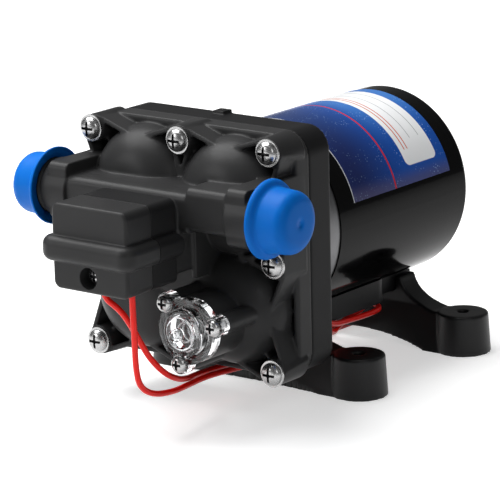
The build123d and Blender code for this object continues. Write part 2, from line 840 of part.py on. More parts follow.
def ball_bearing(outer, inner, start, end, balls):
    """The outer race, the inner race and the balls of one bearing, as three shapes."""
    middle = (start + end) / 2
    track = (outer + inner) / 2
    ball_radius = (outer - inner) / 2 - race_thickness + groove_depth
    groove = Pos(0, middle, axis_height) * Rot(90, 0, 0) * Torus(track, ball_radius + running_gap)
    outer_race = rod(outer, start, end, 0, axis_height)
    outer_race -= rod(outer - race_thickness, start - overrun, end + overrun, 0, axis_height)
    inner_race = rod(inner + race_thickness, start, end, 0, axis_height)
    inner_race -= rod(inner, start - overrun, end + overrun, 0, axis_height)
    set_of_balls = []
    for step in range(balls):
        turn = 2 * pi * step / balls
        place = Pos(track * cos(turn), middle, axis_height + track * sin(turn))
        set_of_balls.append(place * Sphere(ball_radius - running_gap))
    return outer_race - groove, inner_race - groove, set_of_balls


def wobble_bearing():
    return ball_bearing(wobble_bearing_outer, wobble_bearing_inner, seam + wobble_bearing_start,
                        seam + wobble_bearing_end, ball_count)


def cam_hub():
    """The eccentric hub on the motor shaft, whose journal is turned at the wobble angle."""
    journal = tilted(rod(wobble_bearing_inner - running_gap, seam + wobble_bearing_start,
                         seam + cam_shoulder_end, 0, axis_height))
    collar = tilted(rod(cam_collar_radius, seam + wobble_bearing_end + part_gap, seam + cam_shoulder_end,
                        0, axis_height))
    neck = rod(cam_neck_radius, seam + cam_shoulder_end - cam_neck_overlap, seam + cam_neck_end,
               0, axis_height)
    bore = rod(shaft_radius, seam + cam_bore_start, seam + cam_neck_end + overrun, 0, axis_height)
    return journal + collar + neck - bore


# Drive housing

def drive_housing():
    """The square housing plate and round neck that hold the wobble drive."""
    body = square_plate(head_side, head_corner_radius, seam, housing_back)
    body += rod(housing_neck_radius, housing_back, neck_back, 0, axis_height)
    body = body - rod(housing_cavity_radius, seam - overrun, neck_back - housing_rear_wall, 0, axis_height)
    body -= square_plate(plate_side + 2 * part_gap, plate_corner_radius + part_gap, seam - overrun,
                         seam + part_gap + diaphragm_thickness)
    for x, z in chamber_places:
        body -= rod(cup_clearance_radius, seam - overrun, seam + cup_pocket_depth, *at_head(x, z))
    body -= rod(bearing_boss_radius + part_gap, neck_back - housing_rear_wall - overrun, neck_back + overrun,
                0, axis_height)
    for x, z in boss_places:
        body -= rod(head_screw_radius + screw_hole_gap, seam - overrun,
                    seat + head_screw_length + screw_hole_gap, *at_head(x, z))
    nub = block(-nub_place - nub_width / 2, -nub_place + nub_width / 2, housing_back - nub_width,
                housing_back, head_z + head_half - nub_height, head_z + head_half + nub_height)
    return body + nub


# Motor

def front_end_bell():
    """The cast end bell with its bearing boss, between the housing neck and the can."""
    body = rod(bell_radius, neck_back, can_front, 0, axis_height)
    body = chamfer(body.edges().group_by(Axis.Y)[0], bell_chamfer)
    body += rod(motor_radius - motor_wall - part_gap, can_front, can_front + bell_spigot_length,
                0, axis_height)
    body += rod(bearing_boss_radius, neck_back - housing_rear_wall, neck_back, 0, axis_height)
    hollow_start = neck_back - housing_rear_wall + bell_floor + bearing_width
    spigot_end = can_front + bell_spigot_length
    body -= rod(end_hollow_radius, hollow_start, spigot_end + overrun, 0, axis_height)
    body -= rod(bearing_outer_radius, neck_back - housing_rear_wall + bell_floor, hollow_start + overrun,
                0, axis_height)
    body -= rod(shaft_radius + seal_gap + part_gap, neck_back - housing_rear_wall - overrun,
                hollow_start, 0, axis_height)
    for x, z in bolt_places:
        body -= rod(bolt_radius + part_gap, neck_back - overrun, spigot_end + overrun, x, z)
    return body


bolt_x = bolt_circle * cos(radians(bolt_angle))
bolt_z = bolt_circle * sin(radians(bolt_angle))
bolt_places = [at_head(side * bolt_x, side * bolt_z) for side in (-1, 1)]


def motor_can():
    can = rod(motor_radius, can_front, can_back, 0, axis_height)
    return can - rod(motor_radius - motor_wall, can_front - overrun, can_back + overrun, 0, axis_height)


def rear_end_cap():
    """The rear cap with its bearing seat, the brush seats and the lead's hole."""
    body = rod(rear_cap_radius, can_back, motor_back, 0, axis_height)
    body = fillet(body.edges().group_by(Axis.Y)[-1], rear_cap_round)
    body += rod(motor_radius - motor_wall - part_gap, can_back - rear_spigot_length, can_back, 0, axis_height)
    front = can_back - rear_spigot_length - overrun
    back = motor_back + overrun
    body -= rod(end_hollow_radius, front, motor_back - rear_cap_wall - bearing_width, 0, axis_height)
    body -= rod(bearing_outer_radius, front, motor_back - rear_cap_wall, 0, axis_height)
    for x, z in bolt_places:
        body -= rod(bolt_radius + part_gap, front, back, x, z)
        body -= rod(bolt_head_radius + part_gap, motor_back - bolt_head_height, back, x, z)
    return body - rod(grommet_radius, front, back, *at_head(grommet_x, -grommet_drop))


def motor_label():
    """The wrapped label, left open below from one edge to the other."""
    y_from = can_front + label_start
    sleeve = rod(motor_radius + label_thickness, y_from, can_back, 0, axis_height)
    sleeve -= rod(motor_radius + label_film_gap, y_from - overrun, can_back + overrun, 0, axis_height)
    half_width = (motor_radius + overrun) * cos(radians(label_edge_angle))
    drop = (motor_radius + overrun) * sin(radians(label_edge_angle))
    with BuildSketch(Plane.XY) as gap:
        with BuildLine():
            Polyline((0, 0), (half_width, drop), (half_width * 2, -motor_radius * 2),
                     (-half_width * 2, -motor_radius * 2), (-half_width, drop), close=True)
        make_face()
    return sleeve - plate(gap.sketch, y_from - overrun, can_back + overrun, 0, axis_height)


def magnets():
    """Two arc magnets inside the can, above and below."""
    solids = []
    y_from = can_front + magnet_start
    y_to = y_from + magnet_length
    half = radians(magnet_arc / 2)
    side_reach = motor_radius * sin(half)
    top_reach = motor_radius * cos(half)
    for side in (-1, 1):
        ring = rod(motor_radius - motor_wall, y_from, y_to, 0, axis_height)
        ring -= rod(magnet_inner_radius, y_from - overrun, y_to + overrun, 0, axis_height)
        with BuildSketch(Plane.XY) as wedge:
            with BuildLine():
                Polyline((0, 0), (side_reach, side * top_reach), (side_reach, side * motor_radius),
                         (-side_reach, side * motor_radius), (-side_reach, side * top_reach), close=True)
            make_face()
        solids.append(ring & plate(wedge.sketch, y_from, y_to, 0, axis_height))
    return group(solids)


def motor_shaft():
    front = seam + cam_bore_start + part_gap
    return rod(shaft_radius - running_gap, front, motor_back - rear_cap_wall - part_gap, 0, axis_height)


def slots(radius_from, radius_to, width, y_from, y_to):
    """The slots of the armature, each a block that points outwards."""
    cuts = []
    for step in range(slot_count):
        bar = Pos((radius_from + radius_to) / 2, 0) * Rectangle(radius_to - radius_from, width)
        cuts.append(plate(Rot(0, 0, 360 / slot_count * step) * bar, y_from, y_to, 0, axis_height))
    return cuts


def armature_core():
    """The laminated core with its slots, bored for the shaft."""
    y_from = can_front + core_start
    y_to = y_from + core_length
    core = rod(core_radius, y_from, y_to, 0, axis_height)
    core -= rod(shaft_radius, y_from - overrun, y_to + overrun, 0, axis_height)
    for cut in slots(slot_bottom_radius, core_radius - tooth_tip, slot_width,
                     y_from - overrun, y_to + overrun):
        core -= cut
    for cut in slots(core_radius - tooth_tip - overrun, core_radius + overrun, slot_opening,
                     y_from - overrun, y_to + overrun):
        core -= cut
    return core


def armature_windings():
    """The copper in the slots and its round heads at both ends of the core."""
    y_from = can_front + core_start
    y_to = y_from + core_length
    outer = core_radius - tooth_tip - seal_gap
    copper = rod(outer, y_from - winding_overhang, y_from - part_gap, 0, axis_height)
    copper = fillet(copper.edges().group_by(Axis.Y)[0], winding_round)
    back = rod(outer, y_to + part_gap, y_to + winding_overhang, 0, axis_height)
    copper += fillet(back.edges().group_by(Axis.Y)[-1], winding_round)
    for bar in slots(slot_bottom_radius + part_gap, outer, slot_width - 2 * part_gap,
                     y_from - winding_overhang / 2, y_to + winding_overhang / 2):
        copper += bar
    return copper - rod(winding_inner_radius, y_from - winding_overhang - overrun,
                        y_to + winding_overhang + overrun, 0, axis_height)


def commutator():
    """The copper drum of the commutator with a groove between its bars."""
    y_from = can_front + commutator_start
    y_to = y_from + commutator_length
    drum = rod(commutator_radius, y_from, y_to, 0, axis_height)
    drum -= rod(shaft_radius, y_from - overrun, y_to + overrun, 0, axis_height)
    for cut in slots(commutator_radius - commutator_groove, commutator_radius + overrun, commutator_groove,
                     y_from - overrun, y_to + overrun):
        drum -= cut
    return drum


def brushes():
    """Two carbon brushes that bear on the commutator from left and right."""
    middle = can_front + commutator_start + commutator_length / 2
    solids = []
    for side in (-1, 1):
        tip = side * (commutator_radius + running_gap * 2)
        near, far = sorted((tip, side * (commutator_radius + brush_length)))
        solids.append(block(near, far, middle - brush_width / 2, middle + brush_width / 2,
                            axis_height - brush_height / 2, axis_height + brush_height / 2))
    return group(solids)


def brush_springs():
    """A coil spring behind each brush, up to the wall of the rear cap's skirt."""
    middle = can_front + commutator_start + commutator_length / 2
    coil = spring(brush_spring_radius, brush_spring_wire, brush_spring_length, brush_spring_turns)
    start = commutator_radius + brush_length + part_gap
    return group(Pos(side * start, middle, axis_height) * Rot(0, side * 90, 0) * coil for side in (-1, 1))


def plain_bearing_set(start):
    """The ball bearing of the motor: outer race and balls stay, the inner race turns."""
    return ball_bearing(bearing_outer_radius - running_gap, shaft_radius, start, start + bearing_width,
                        motor_ball_count)


def through_bolts():
    """Two long bolts that hold both end caps to the can."""
    solids = []
    for x, z in bolt_places:
        bolt = rod(bolt_radius, neck_back + bolt_front_gap, motor_back - bolt_head_height, x, z)
        solids.append(bolt + rod(bolt_head_radius, motor_back - bolt_head_height, motor_back, x, z))
    return group(solids)


def lead_grommet():
    x, z = at_head(grommet_x, -grommet_drop)
    body = rod(grommet_radius - part_gap, motor_back - rear_cap_wall - part_gap, motor_back, x, z)
    body += cone_y(grommet_radius + grommet_lip, grommet_radius, motor_back, motor_back + grommet_length,
                   x, z)
    return body - rod(wire_radius + part_gap, motor_back - rear_cap_wall - overrun,
                      motor_back + grommet_length + overrun, x, z)


# Check valve on the front

def valve_cover():
    """The clear cover with three ears, a stepped dome and a drilled stem."""
    face = barrel_face - cover_thickness
    cover = rod(barrel_radius, face, barrel_face, valve_x, barrel_z)
    for x, z in ear_places:
        cover += rod(ear_radius, face - ear_step, barrel_face, x, z)
    rim_face = face - cover_rim_height
    rim = rod(barrel_radius, rim_face, face, valve_x, barrel_z)
    cover += rim - rod(barrel_radius - cover_rim_width, rim_face - overrun, face, valve_x, barrel_z)
    ear_face = face - ear_step
    for x, z in ear_places:
        cover -= rod(valve_screw_washer_radius + screw_hole_gap, ear_face - overrun, ear_face, x, z)
    dome_top = face - cover_dome_height
    bulb = rod(cover_dome_radius, dome_top, face, valve_x, barrel_z)
    cover += fillet(bulb.edges().group_by(Axis.Y)[0], cover_dome_round)
    step_top = dome_top - cover_step_height
    step = rod(cover_step_radius, step_top, face, valve_x, barrel_z)
    cover += fillet(step.edges().group_by(Axis.Y)[0], cover_step_round)
    stem_top = step_top - cover_stem_height
    stem = rod(cover_stem_radius, stem_top, face, valve_x, barrel_z)
    cover += chamfer(stem.edges().group_by(Axis.Y)[0], cover_stem_chamfer)
    cover -= rod(cover_dome_radius - cover_wall, dome_top + cover_wall, barrel_face + overrun,
                 valve_x, barrel_z)
    cover -= rod(cover_hole_radius, stem_top - overrun, stem_top + cover_hole_depth, valve_x, barrel_z)
    for x, z in ear_places:
        cover -= rod(valve_screw_radius + screw_hole_gap, ear_face - overrun, barrel_face + overrun, x, z)
    return cover


poppet_back = barrel_face + barrel_bore_depth - part_gap
poppet_front = poppet_back - poppet_disc
spring_stop = barrel_face - cover_thickness - cover_dome_height + cover_wall


def valve_poppet():
    """The poppet that closes the seat at the bottom of the barrel."""
    disc = rod(poppet_radius, poppet_front, poppet_back, valve_x, barrel_z)
    return disc + rod(poppet_stem_radius, poppet_front - poppet_stem_length, poppet_front, valve_x, barrel_z)


def valve_spring():
    length = poppet_front - spring_stop - 2 * part_gap
    coil = spring(valve_spring_radius, valve_spring_wire, length, valve_spring_turns)
    return facing_front(coil, valve_x, poppet_front - part_gap, barrel_z)


def valve_o_ring():
    middle = barrel_face + ring_groove_depth / 2
    section = min(ring_groove_depth, ring_groove_width) / 2 - running_gap
    return Pos(valve_x, middle, barrel_z) * Rot(90, 0, 0) * Torus(ring_radius, section)


def valve_screws():
    screw = pan_screw(valve_screw_head_radius, valve_screw_washer_radius, valve_screw_head_height,
                      valve_screw_washer, valve_screw_radius, valve_screw_length, valve_screw_recess)
    face = barrel_face - cover_thickness - ear_step
    return group(facing_front(screw, x, face, z) for x, z in ear_places)


# Pressure switch

pad_face = seat - switch_pad_front
split_y = seat - switch_split
switch_face = seat - switch_front
switch_floor = pad_face - sense_cavity_depth
cavity_floor = switch_floor - switch_wall
micro_back = split_y - micro_set_in
micro_bottom = axis_height + sense_z + micro_rise - microswitch_height / 2
lead_exit_z = axis_height + switch_bottom
lead_places = (switch_lead_route[0][0], supply_lead_route[0][0])
lead_y = switch_lead_route[0][1]
terminal_end = micro_bottom - terminal_length


def switch_shell(y_from, y_to):
    """A stretch of the switch's outer form with its raised belt."""
    return plate(switch_outline(switch_half_width, switch_bottom, switch_top, switch_corner), y_from, y_to)


def switch_outline(half_width, bottom, top, corner):
    """The rounded front outline of the switch, in real X and Z."""
    middle = (top + bottom) / 2
    return Pos(0, axis_height + middle) * RectangleRounded(2 * half_width, top - bottom, corner)


def switch_belt():
    reach = switch_half_width + belt_proud
    belt = block(-reach, reach, switch_face - belt_proud, pad_face,
                 axis_height + belt_centre - belt_height / 2, axis_height + belt_centre + belt_height / 2)
    belt = fillet(belt.edges().filter_by(Axis.Z).group_by(Axis.Y)[0], belt_round + belt_proud / 2)
    return fillet(belt.edges().group_by(Axis.Z)[0] + belt.edges().group_by(Axis.Z)[-1], belt_round)


def front_half_space(y):
    reach = head_side
    return block(-reach, reach, y - reach, y, 0, 2 * head_side)


def switch_base():
    """The rear half of the switch housing, with the pressure chamber in its back."""
    body = switch_shell(split_y, pad_face) + (switch_belt() - front_half_space(split_y))
    inside = switch_outline(switch_half_width - switch_wall, switch_bottom + switch_wall,
                            switch_top - switch_wall, switch_corner - switch_wall / 2)
    body -= plate(inside, split_y - overrun, cavity_floor)
    body -= rod(sense_radius, switch_floor, pad_face + overrun, 0, axis_height + sense_z)
    body -= rod(plunger_stem_radius + running_gap * 2, cavity_floor - overrun, switch_floor + overrun,
                0, axis_height + sense_z)
    for side in (-1, 1):
        x = side * micro_post_place
        body += block(x - switch_wall / 2, x + switch_wall / 2, micro_back, cavity_floor,
                      micro_bottom + switch_wall, micro_bottom + microswitch_height - switch_wall)
    return body


def switch_cover():
    """The front half of the switch housing, with the well of the adjusting screw."""
    body = switch_shell(switch_face, split_y)
    body = fillet(body.edges().group_by(Axis.Y)[0], switch_edge_round)
    body += switch_belt() & front_half_space(split_y)
    inside = switch_outline(switch_half_width - switch_wall, switch_bottom + switch_wall,
                            switch_top - switch_wall, switch_corner - switch_wall / 2)
    body -= plate(inside, switch_face + switch_wall, split_y + overrun)
    well = at_head(adjuster_x, adjuster_z)
    well_floor = switch_face + adjuster_recess
    body += rod(adjuster_hole_radius + adjuster_well_wall, switch_face + switch_wall / 2,
                well_floor + adjuster_nut, *well)
    body -= rod(adjuster_hole_radius, switch_face - belt_proud - overrun, well_floor, *well)
    body -= rod(adjuster_thread_radius + running_gap, well_floor - overrun,
                well_floor + adjuster_nut + overrun, *well)
    wall_top = lead_exit_z + switch_wall
    for x in lead_places:
        body -= rod_z(wire_radius + part_gap, lead_exit_z - overrun, wall_top + overrun, x, lead_y)
    return body


def adjusting_screw():
    screw = pan_screw(adjuster_radius, adjuster_radius + part_gap, adjuster_head_height, part_gap,
                      adjuster_thread_radius, adjuster_length, adjuster_screw_recess)
    x, z = at_head(adjuster_x, adjuster_z)
    return facing_front(screw, x, switch_face + adjuster_recess - running_gap, z)


def switch_diaphragm():
    """The small rubber disc that the water presses on."""
    back = pad_face - part_gap / 2
    return rod(sense_radius - part_gap, back - switch_diaphragm_thickness, back, 0, axis_height + sense_z)


plunger_back = pad_face - part_gap / 2 - switch_diaphragm_thickness - seal_gap
plunger_front = plunger_back - plunger_disc
plunger_tip = micro_back + micro_button_height + plunger_travel + seal_gap


def switch_plunger():
    disc = rod(plunger_disc_radius, plunger_front, plunger_back, 0, axis_height + sense_z)
    return disc + rod(plunger_stem_radius, plunger_tip, plunger_front, 0, axis_height + sense_z)


def switch_spring():
    length = plunger_front - switch_floor - 2 * part_gap
    coil = spring(switch_spring_radius, switch_spring_wire, length, switch_spring_turns)
    return facing_front(coil, 0, plunger_front - part_gap, axis_height + sense_z)


def microswitch():
    half = microswitch_width / 2
    body = block(-half, half, micro_back - microswitch_depth, micro_back, micro_bottom,
                 micro_bottom + microswitch_height)
    return body + rod(microswitch_button_radius, micro_back, micro_back + micro_button_height,
                      0, axis_height + sense_z)


def switch_terminals():
    return group(block(x - terminal_width / 2, x + terminal_width / 2, lead_y - terminal_thickness / 2,
                       lead_y + terminal_thickness / 2, terminal_end, micro_bottom) for x in lead_places)


# Dust caps

def dust_cap():
    """A soft cap drawn standing on its mouth: straight bore, rolled flange and rounded end."""
    mouth = port_thread_radius + cap_fit
    outer = mouth + cap_wall
    tip = cap_length
    with BuildSketch(Plane.XZ) as half:
        with BuildLine():
            l1 = Line((0, tip), (outer - cap_taper - cap_round, tip))
            l2 = RadiusArc(l1 @ 1, (outer - cap_taper, tip - cap_round), cap_round)
            l3 = Line(l2 @ 1, (outer, cap_flange_width + cap_lip))
            l4 = RadiusArc(l3 @ 1, (outer + cap_lip, cap_flange_width), -cap_lip)
            l5 = Line(l4 @ 1, (cap_flange_radius - cap_lip, cap_flange_width))
            l6 = RadiusArc(l5 @ 1, (cap_flange_radius, cap_flange_width - cap_lip), cap_lip)
            l7 = Line(l6 @ 1, (cap_flange_radius, 0))
            l8 = Line(l7 @ 1, (cap_flange_radius - cap_wall / 2, 0))
            l9 = Line(l8 @ 1, (cap_flange_radius - cap_wall, cap_flange_width - cap_wall))
            l10 = Line(l9 @ 1, (mouth, cap_flange_width - cap_wall))
            l11 = Line(l10 @ 1, (mouth, tip - cap_wall - cap_inner_round))
            l12 = RadiusArc(l11 @ 1, (mouth - cap_inner_round, tip - cap_wall), -cap_inner_round)
            l13 = Line(l12 @ 1, (0, tip - cap_wall))
            Line(l13 @ 1, l1 @ 0)
        make_face()
    return revolve(half.sketch, Axis.Z)


def cap_on(side):
    return Pos(side * cap_start, port_y, port_z) * Rot(0, side * 90, 0) * dust_cap()


# Base

bar_places = (-foot_pitch_y / 2, foot_pitch_y / 2)


def mount_bar(y):
    """A rubber bar with a round foot at each end and two upstands beside the saddle."""
    half_pitch = foot_pitch_x / 2
    with BuildSketch(Plane.XY) as side_view:
        with BuildLine():
            base_left = (-bar_arch_half_width, 0)
            base_right = (bar_arch_half_width, 0)
            ThreePointArc(base_left, (0, bar_arch_height), base_right)
            Line(base_right, (half_pitch, 0))
            Line((half_pitch, 0), (half_pitch, foot_height - foot_edge_round))
            for side in (1, -1):
                end = (side * half_pitch, foot_height - foot_edge_round)
                low = (side * bar_slope_x, foot_height - foot_edge_round + bar_slope_rise)
                tip = (side * (bar_middle_half_width + bar_tip_width), bar_tip_height)
                foot = (side * bar_middle_half_width, bar_middle_height)
                Line(end, low)
                Spline(low, tip, tangents=((-side, bar_slope_share), (-side * bar_tip_lean, 1)))
                Line(tip, (foot[0], bar_tip_height))
                Line((foot[0], bar_tip_height), foot)
            Line((bar_middle_half_width, bar_middle_height), (-bar_middle_half_width, bar_middle_height))
            Line((-half_pitch, foot_height - foot_edge_round), (-half_pitch, 0))
            Line((-half_pitch, 0), base_left)
        make_face()
    body = plate(side_view.sketch, y - bar_base_half_depth, y + bar_base_half_depth)
    with BuildSketch(Plane.YZ) as end_view:
        with BuildLine():
            Polyline((y - bar_base_half_depth, 0), (y + bar_base_half_depth, 0),
                     (y + bar_top_half_depth, bar_shoulder_height),
                     (y + bar_top_half_depth, 2 * bar_tip_height),
                     (y - bar_top_half_depth, 2 * bar_tip_height),
                     (y - bar_top_half_depth, bar_shoulder_height), close=True)
        make_face()
    body = body & extrude(end_view.sketch, amount=foot_pitch_x, both=True)
    for side in (-1, 1):
        foot = Cone(foot_base_radius, foot_top_radius, foot_height)
        foot = Pos(side * half_pitch, y, foot_height / 2) * foot
        body += fillet(foot.edges().group_by(Axis.Z)[-1], foot_edge_round)
    for side in (-1, 1):
        body -= rod_z(foot_hole_radius, -overrun, foot_height + overrun, side * half_pitch, y)
        body -= rod_z(saddle_screw_head_radius + screw_hole_gap, -overrun, saddle_screw_seat,
                      side * saddle_screw_x, y)
        body -= rod_z(saddle_screw_radius + screw_hole_gap, 0, bar_middle_height + overrun,
                      side * saddle_screw_x, y)
    return body


def motor_saddle():
    """The plate that cradles the can and reaches over both bars as a tongue."""
    front, back = bar_places
    top = axis_height - motor_radius + saddle_rise
    wide = block(-saddle_half_width, saddle_half_width, front + bar_top_half_depth + seal_gap,
                 seat + saddle_rear, bar_middle_height, top)
    wide = fillet(wide.edges().filter_by(Axis.Z).group_by(Axis.Y)[-1], saddle_corner)
    tongue = block(-tongue_half_width, tongue_half_width, front - tongue_reach, back + tongue_reach,
                   bar_middle_height, top)
    body = wide + tongue - rod(motor_radius + part_gap, front - head_side, back + head_side, 0, axis_height)
    screw_top = saddle_screw_seat + saddle_screw_length + part_gap
    for y in bar_places:
        for side in (-1, 1):
            body -= rod_z(saddle_screw_radius + running_gap, 0, screw_top, side * saddle_screw_x, y)
    return body


def saddle_screws():
    screw = pan_screw(saddle_screw_head_radius, saddle_screw_head_radius + part_gap, saddle_screw_head_height,
                      part_gap, saddle_screw_radius, saddle_screw_length, saddle_screw_recess)
    return group(Pos(side * saddle_screw_x, y, saddle_screw_seat) * Rot(180, 0, 0) * screw
                 for y in bar_places for side in (-1, 1))


# Leads

def lead(route, name):
    """A lead as straight runs joined by tangent arcs as large as its runs allow."""
    points = [Vector(*point) for point in route]
    radii = []
    for before, corner, after in zip(points, points[1:], points[2:]):
        run_in = corner - before
        run_out = after - corner
        turn = radians(run_in.get_angle(run_out))
        radii.append(lead_arc_share * min(run_in.length, run_out.length) / tan(turn / 2))
    path = FilletPolyline(*points, radius=radii)
    tube = swept_wire(path, wire_radius)
    expected = pi * wire_radius ** 2 * path.length
    print(f"{name}: {path.length:.0f} mm, least radius {min(radii):.1f} mm, "
          f"volume share {tube.volume / expected:.4f}")
    return tube


def swept_wire(path, radius):
    section = Plane(origin=path @ 0, z_dir=path % 0) * Circle(radius)
    return sweep(section, path=path)


def coil_point(turn):
    """A point of the coil: in over the first layer, out again over the second, all clockwise."""
    depth = min(turn, 2 * coil_turns - turn)
    radius = coil_start_radius - coil_pitch * depth
    climb = min(max((turn - coil_turns) / coil_climb_share + 1 / 2, 0), 1)
    angle = -pi / 2 - 2 * pi * turn
    x, y, z = supply_lead_route[-1]
    return Vector(x + radius * cos(angle), y + coil_start_radius + radius * sin(angle), z + coil_rise * climb)


def coil_tangent(turn, step):
    before = coil_point(max(turn - step, 0))
    after = coil_point(min(turn + step, 2 * coil_turns))
    return (after - before).normalized()


def supply_lead_coil():
    """The length put away behind the motor, wound in two layers."""
    count = 2 * coil_points_per_turn * coil_turns
    turns = [2 * coil_turns * step / count for step in range(count + 1)]
    points = [coil_point(turn) for turn in turns]
    tangents = [coil_tangent(turn, coil_tangent_step) for turn in turns]
    tangents[0] = Vector(-1, 0, 0)
    edges = biarc_path(points, tangents)
    print(f"supply lead coil: {sum(edge.length for edge in edges):.0f} mm, "
          f"least gap to itself {least_gap(edges, wire_radius):.2f} mm")
    return swept(edges, wire_radius)


def least_gap(edges, radius):
    """The least gap from a tube to itself, measured between points of its path."""
    shares = [step / gap_samples_per_arc for step in range(gap_samples_per_arc)]
    places = [(index, edge.position_at(share)) for index, edge in enumerate(edges) for share in shares]
    nearest = min((a - b).length for i, a in places for j, b in places if abs(i - j) >= coil_points_per_turn)
    return nearest - 2 * radius


def strands():
    """The bare copper end of the supply lead, beyond the last turn of the coil."""
    end = coil_point(2 * coil_turns)
    along = coil_tangent(2 * coil_turns, coil_tangent_step)
    flat = Vector(along.X, along.Y, 0).normalized()
    plane = Plane(origin=end, z_dir=flat)
    return extrude(plane * Circle(strand_radius), amount=strand_length)


outer_race, inner_race, bearing_balls = wobble_bearing()
front_outer, front_inner, front_balls = plain_bearing_set(neck_back - housing_rear_wall + bell_floor)
rear_outer, rear_inner, rear_balls = plain_bearing_set(motor_back - rear_cap_wall - bearing_width)

nodes = {
    "pump_head": pump_head(),
    "head_screws": head_screws(),
    "valve_plate": valve_plate(),
    "inlet_valves": inlet_valves(),
    "outlet_valve": outlet_valve(),
    "diaphragm": diaphragm(),
    "piston_plates": piston_plates(),
    "piston_screws": piston_screws(),
    "wobble_plate": wobble_plate(),
    "wobble_bearing_outer": group(tilted(solid) for solid in [outer_race] + bearing_balls),
    "wobble_bearing_inner": tilted(inner_race),
    "cam_hub": cam_hub(),
    "drive_housing": drive_housing(),
    "front_end_bell": front_end_bell(),
    "motor_can": motor_can(),
    "rear_end_cap": rear_end_cap(),
    "motor_label": motor_label(),
    "magnets": magnets(),
    "motor_shaft": motor_shaft(),
    "armature_core": armature_core(),
    "armature_windings": armature_windings(),
    "commutator": commutator(),
    "brushes": brushes(),
    "brush_springs": brush_springs(),
    "front_bearing_outer": group([front_outer] + front_balls),
    "front_bearing_inner": front_inner,
    "rear_bearing_outer": group([rear_outer] + rear_balls),
    "rear_bearing_inner": rear_inner,
    "through_bolts": through_bolts(),
    "lead_grommet": lead_grommet(),
    "valve_cover": valve_cover(),
    "valve_poppet": valve_poppet(),
    "valve_spring": valve_spring(),
    "valve_o_ring": valve_o_ring(),
    "valve_screws": valve_screws(),
    "switch_base": switch_base(),
    "switch_cover": switch_cover(),
    "adjusting_screw": adjusting_screw(),
    "switch_diaphragm": switch_diaphragm(),
    "switch_plunger": switch_plunger(),
    "switch_spring": switch_spring(),
    "microswitch": microswitch(),
    "switch_terminals": switch_terminals(),
    "inlet_cap": cap_on(-1),
    "outlet_cap": cap_on(1),
    "front_mount_bar": mount_bar(bar_places[0]),
    "rear_mount_bar": mount_bar(bar_places[1]),
    "motor_saddle": motor_saddle(),
    "saddle_screws": saddle_screws(),
    "switch_lead": lead(switch_lead_route, "switch lead"),
    "supply_lead": lead(supply_lead_route, "supply lead"),
    "supply_lead_coil": supply_lead_coil(),
    "supply_lead_strands": strands(),
}
for name, shape in nodes.items():
    save(shape, name)
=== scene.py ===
import bpy
from math import cos, pi, radians, sin
from mathutils import Matrix, Vector


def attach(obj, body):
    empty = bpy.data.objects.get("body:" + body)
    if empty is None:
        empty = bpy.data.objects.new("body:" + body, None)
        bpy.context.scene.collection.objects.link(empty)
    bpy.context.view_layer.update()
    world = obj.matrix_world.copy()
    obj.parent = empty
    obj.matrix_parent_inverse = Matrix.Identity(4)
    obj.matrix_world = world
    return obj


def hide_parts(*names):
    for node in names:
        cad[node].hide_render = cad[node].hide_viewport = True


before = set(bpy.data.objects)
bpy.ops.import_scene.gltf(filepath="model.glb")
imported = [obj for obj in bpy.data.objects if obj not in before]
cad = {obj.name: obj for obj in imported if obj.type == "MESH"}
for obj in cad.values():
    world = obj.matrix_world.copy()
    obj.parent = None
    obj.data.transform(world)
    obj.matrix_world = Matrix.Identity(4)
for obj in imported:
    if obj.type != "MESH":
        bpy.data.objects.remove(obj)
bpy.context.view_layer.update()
scene = bpy.context.scene
mm = 0.001


# Mounting bars
# Two moulded rubber bars carry the pump. Each ends in round feet with a hole for a floor screw,
# and rises in the middle to two upstands that grip the plate under the motor. The front bar's
# underside is flat from foot to foot, and the rear bar's is arched.

def moulded(name, colour, roughness, drift=0.12, grain=0.25, pitch=0.5 * mm, metallic=0.0, shine=0.3):
    """A moulded surface: its shade drifts a little over centimetres, and a fine grain breaks its shine."""
    made = bpy.data.materials.new(name)
    made.use_nodes = True
    nodes, links = made.node_tree.nodes, made.node_tree.links
    shader = nodes["Principled BSDF"]
    shader.inputs["Metallic"].default_value = metallic
    shader.inputs["Specular IOR Level"].default_value = shine
    place = nodes.new("ShaderNodeTexCoord")
    cloud = nodes.new("ShaderNodeTexNoise")
    cloud.inputs["Scale"].default_value = 45.0
    cloud.inputs["Detail"].default_value = 4.0
    shade = nodes.new("ShaderNodeValToRGB")
    dark, light = shade.color_ramp.elements
    dark.position, light.position = 0.3, 0.7
    dark.color = (*[c * (1 - drift) for c in colour], 1)
    light.color = (*[min(1, c * (1 + drift)) for c in colour], 1)
    fine = nodes.new("ShaderNodeTexNoise")
    fine.inputs["Scale"].default_value = 1 / pitch
    fine.inputs["Detail"].default_value = 3.0
    polish = nodes.new("ShaderNodeMapRange")
    polish.inputs["To Min"].default_value = roughness * 0.88
    polish.inputs["To Max"].default_value = min(1, roughness * 1.12)
    relief = nodes.new("ShaderNodeBump")
    relief.inputs["Strength"].default_value = grain
    relief.inputs["Distance"].default_value = pitch / 6
    links.new(place.outputs["Object"], cloud.inputs["Vector"])
    links.new(place.outputs["Object"], fine.inputs["Vector"])
    links.new(cloud.outputs["Fac"], shade.inputs["Fac"])
    links.new(shade.outputs["Color"], shader.inputs["Base Color"])
    links.new(fine.outputs["Fac"], polish.inputs["Value"])
    links.new(polish.outputs["Result"], shader.inputs["Roughness"])
    links.new(fine.outputs["Fac"], relief.inputs["Height"])
    links.new(relief.outputs["Normal"], shader.inputs["Normal"])
    return made


def dress(name, material):
    """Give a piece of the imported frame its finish."""
    slots = cad[name].data.materials
    slots.clear()
    slots.append(material)


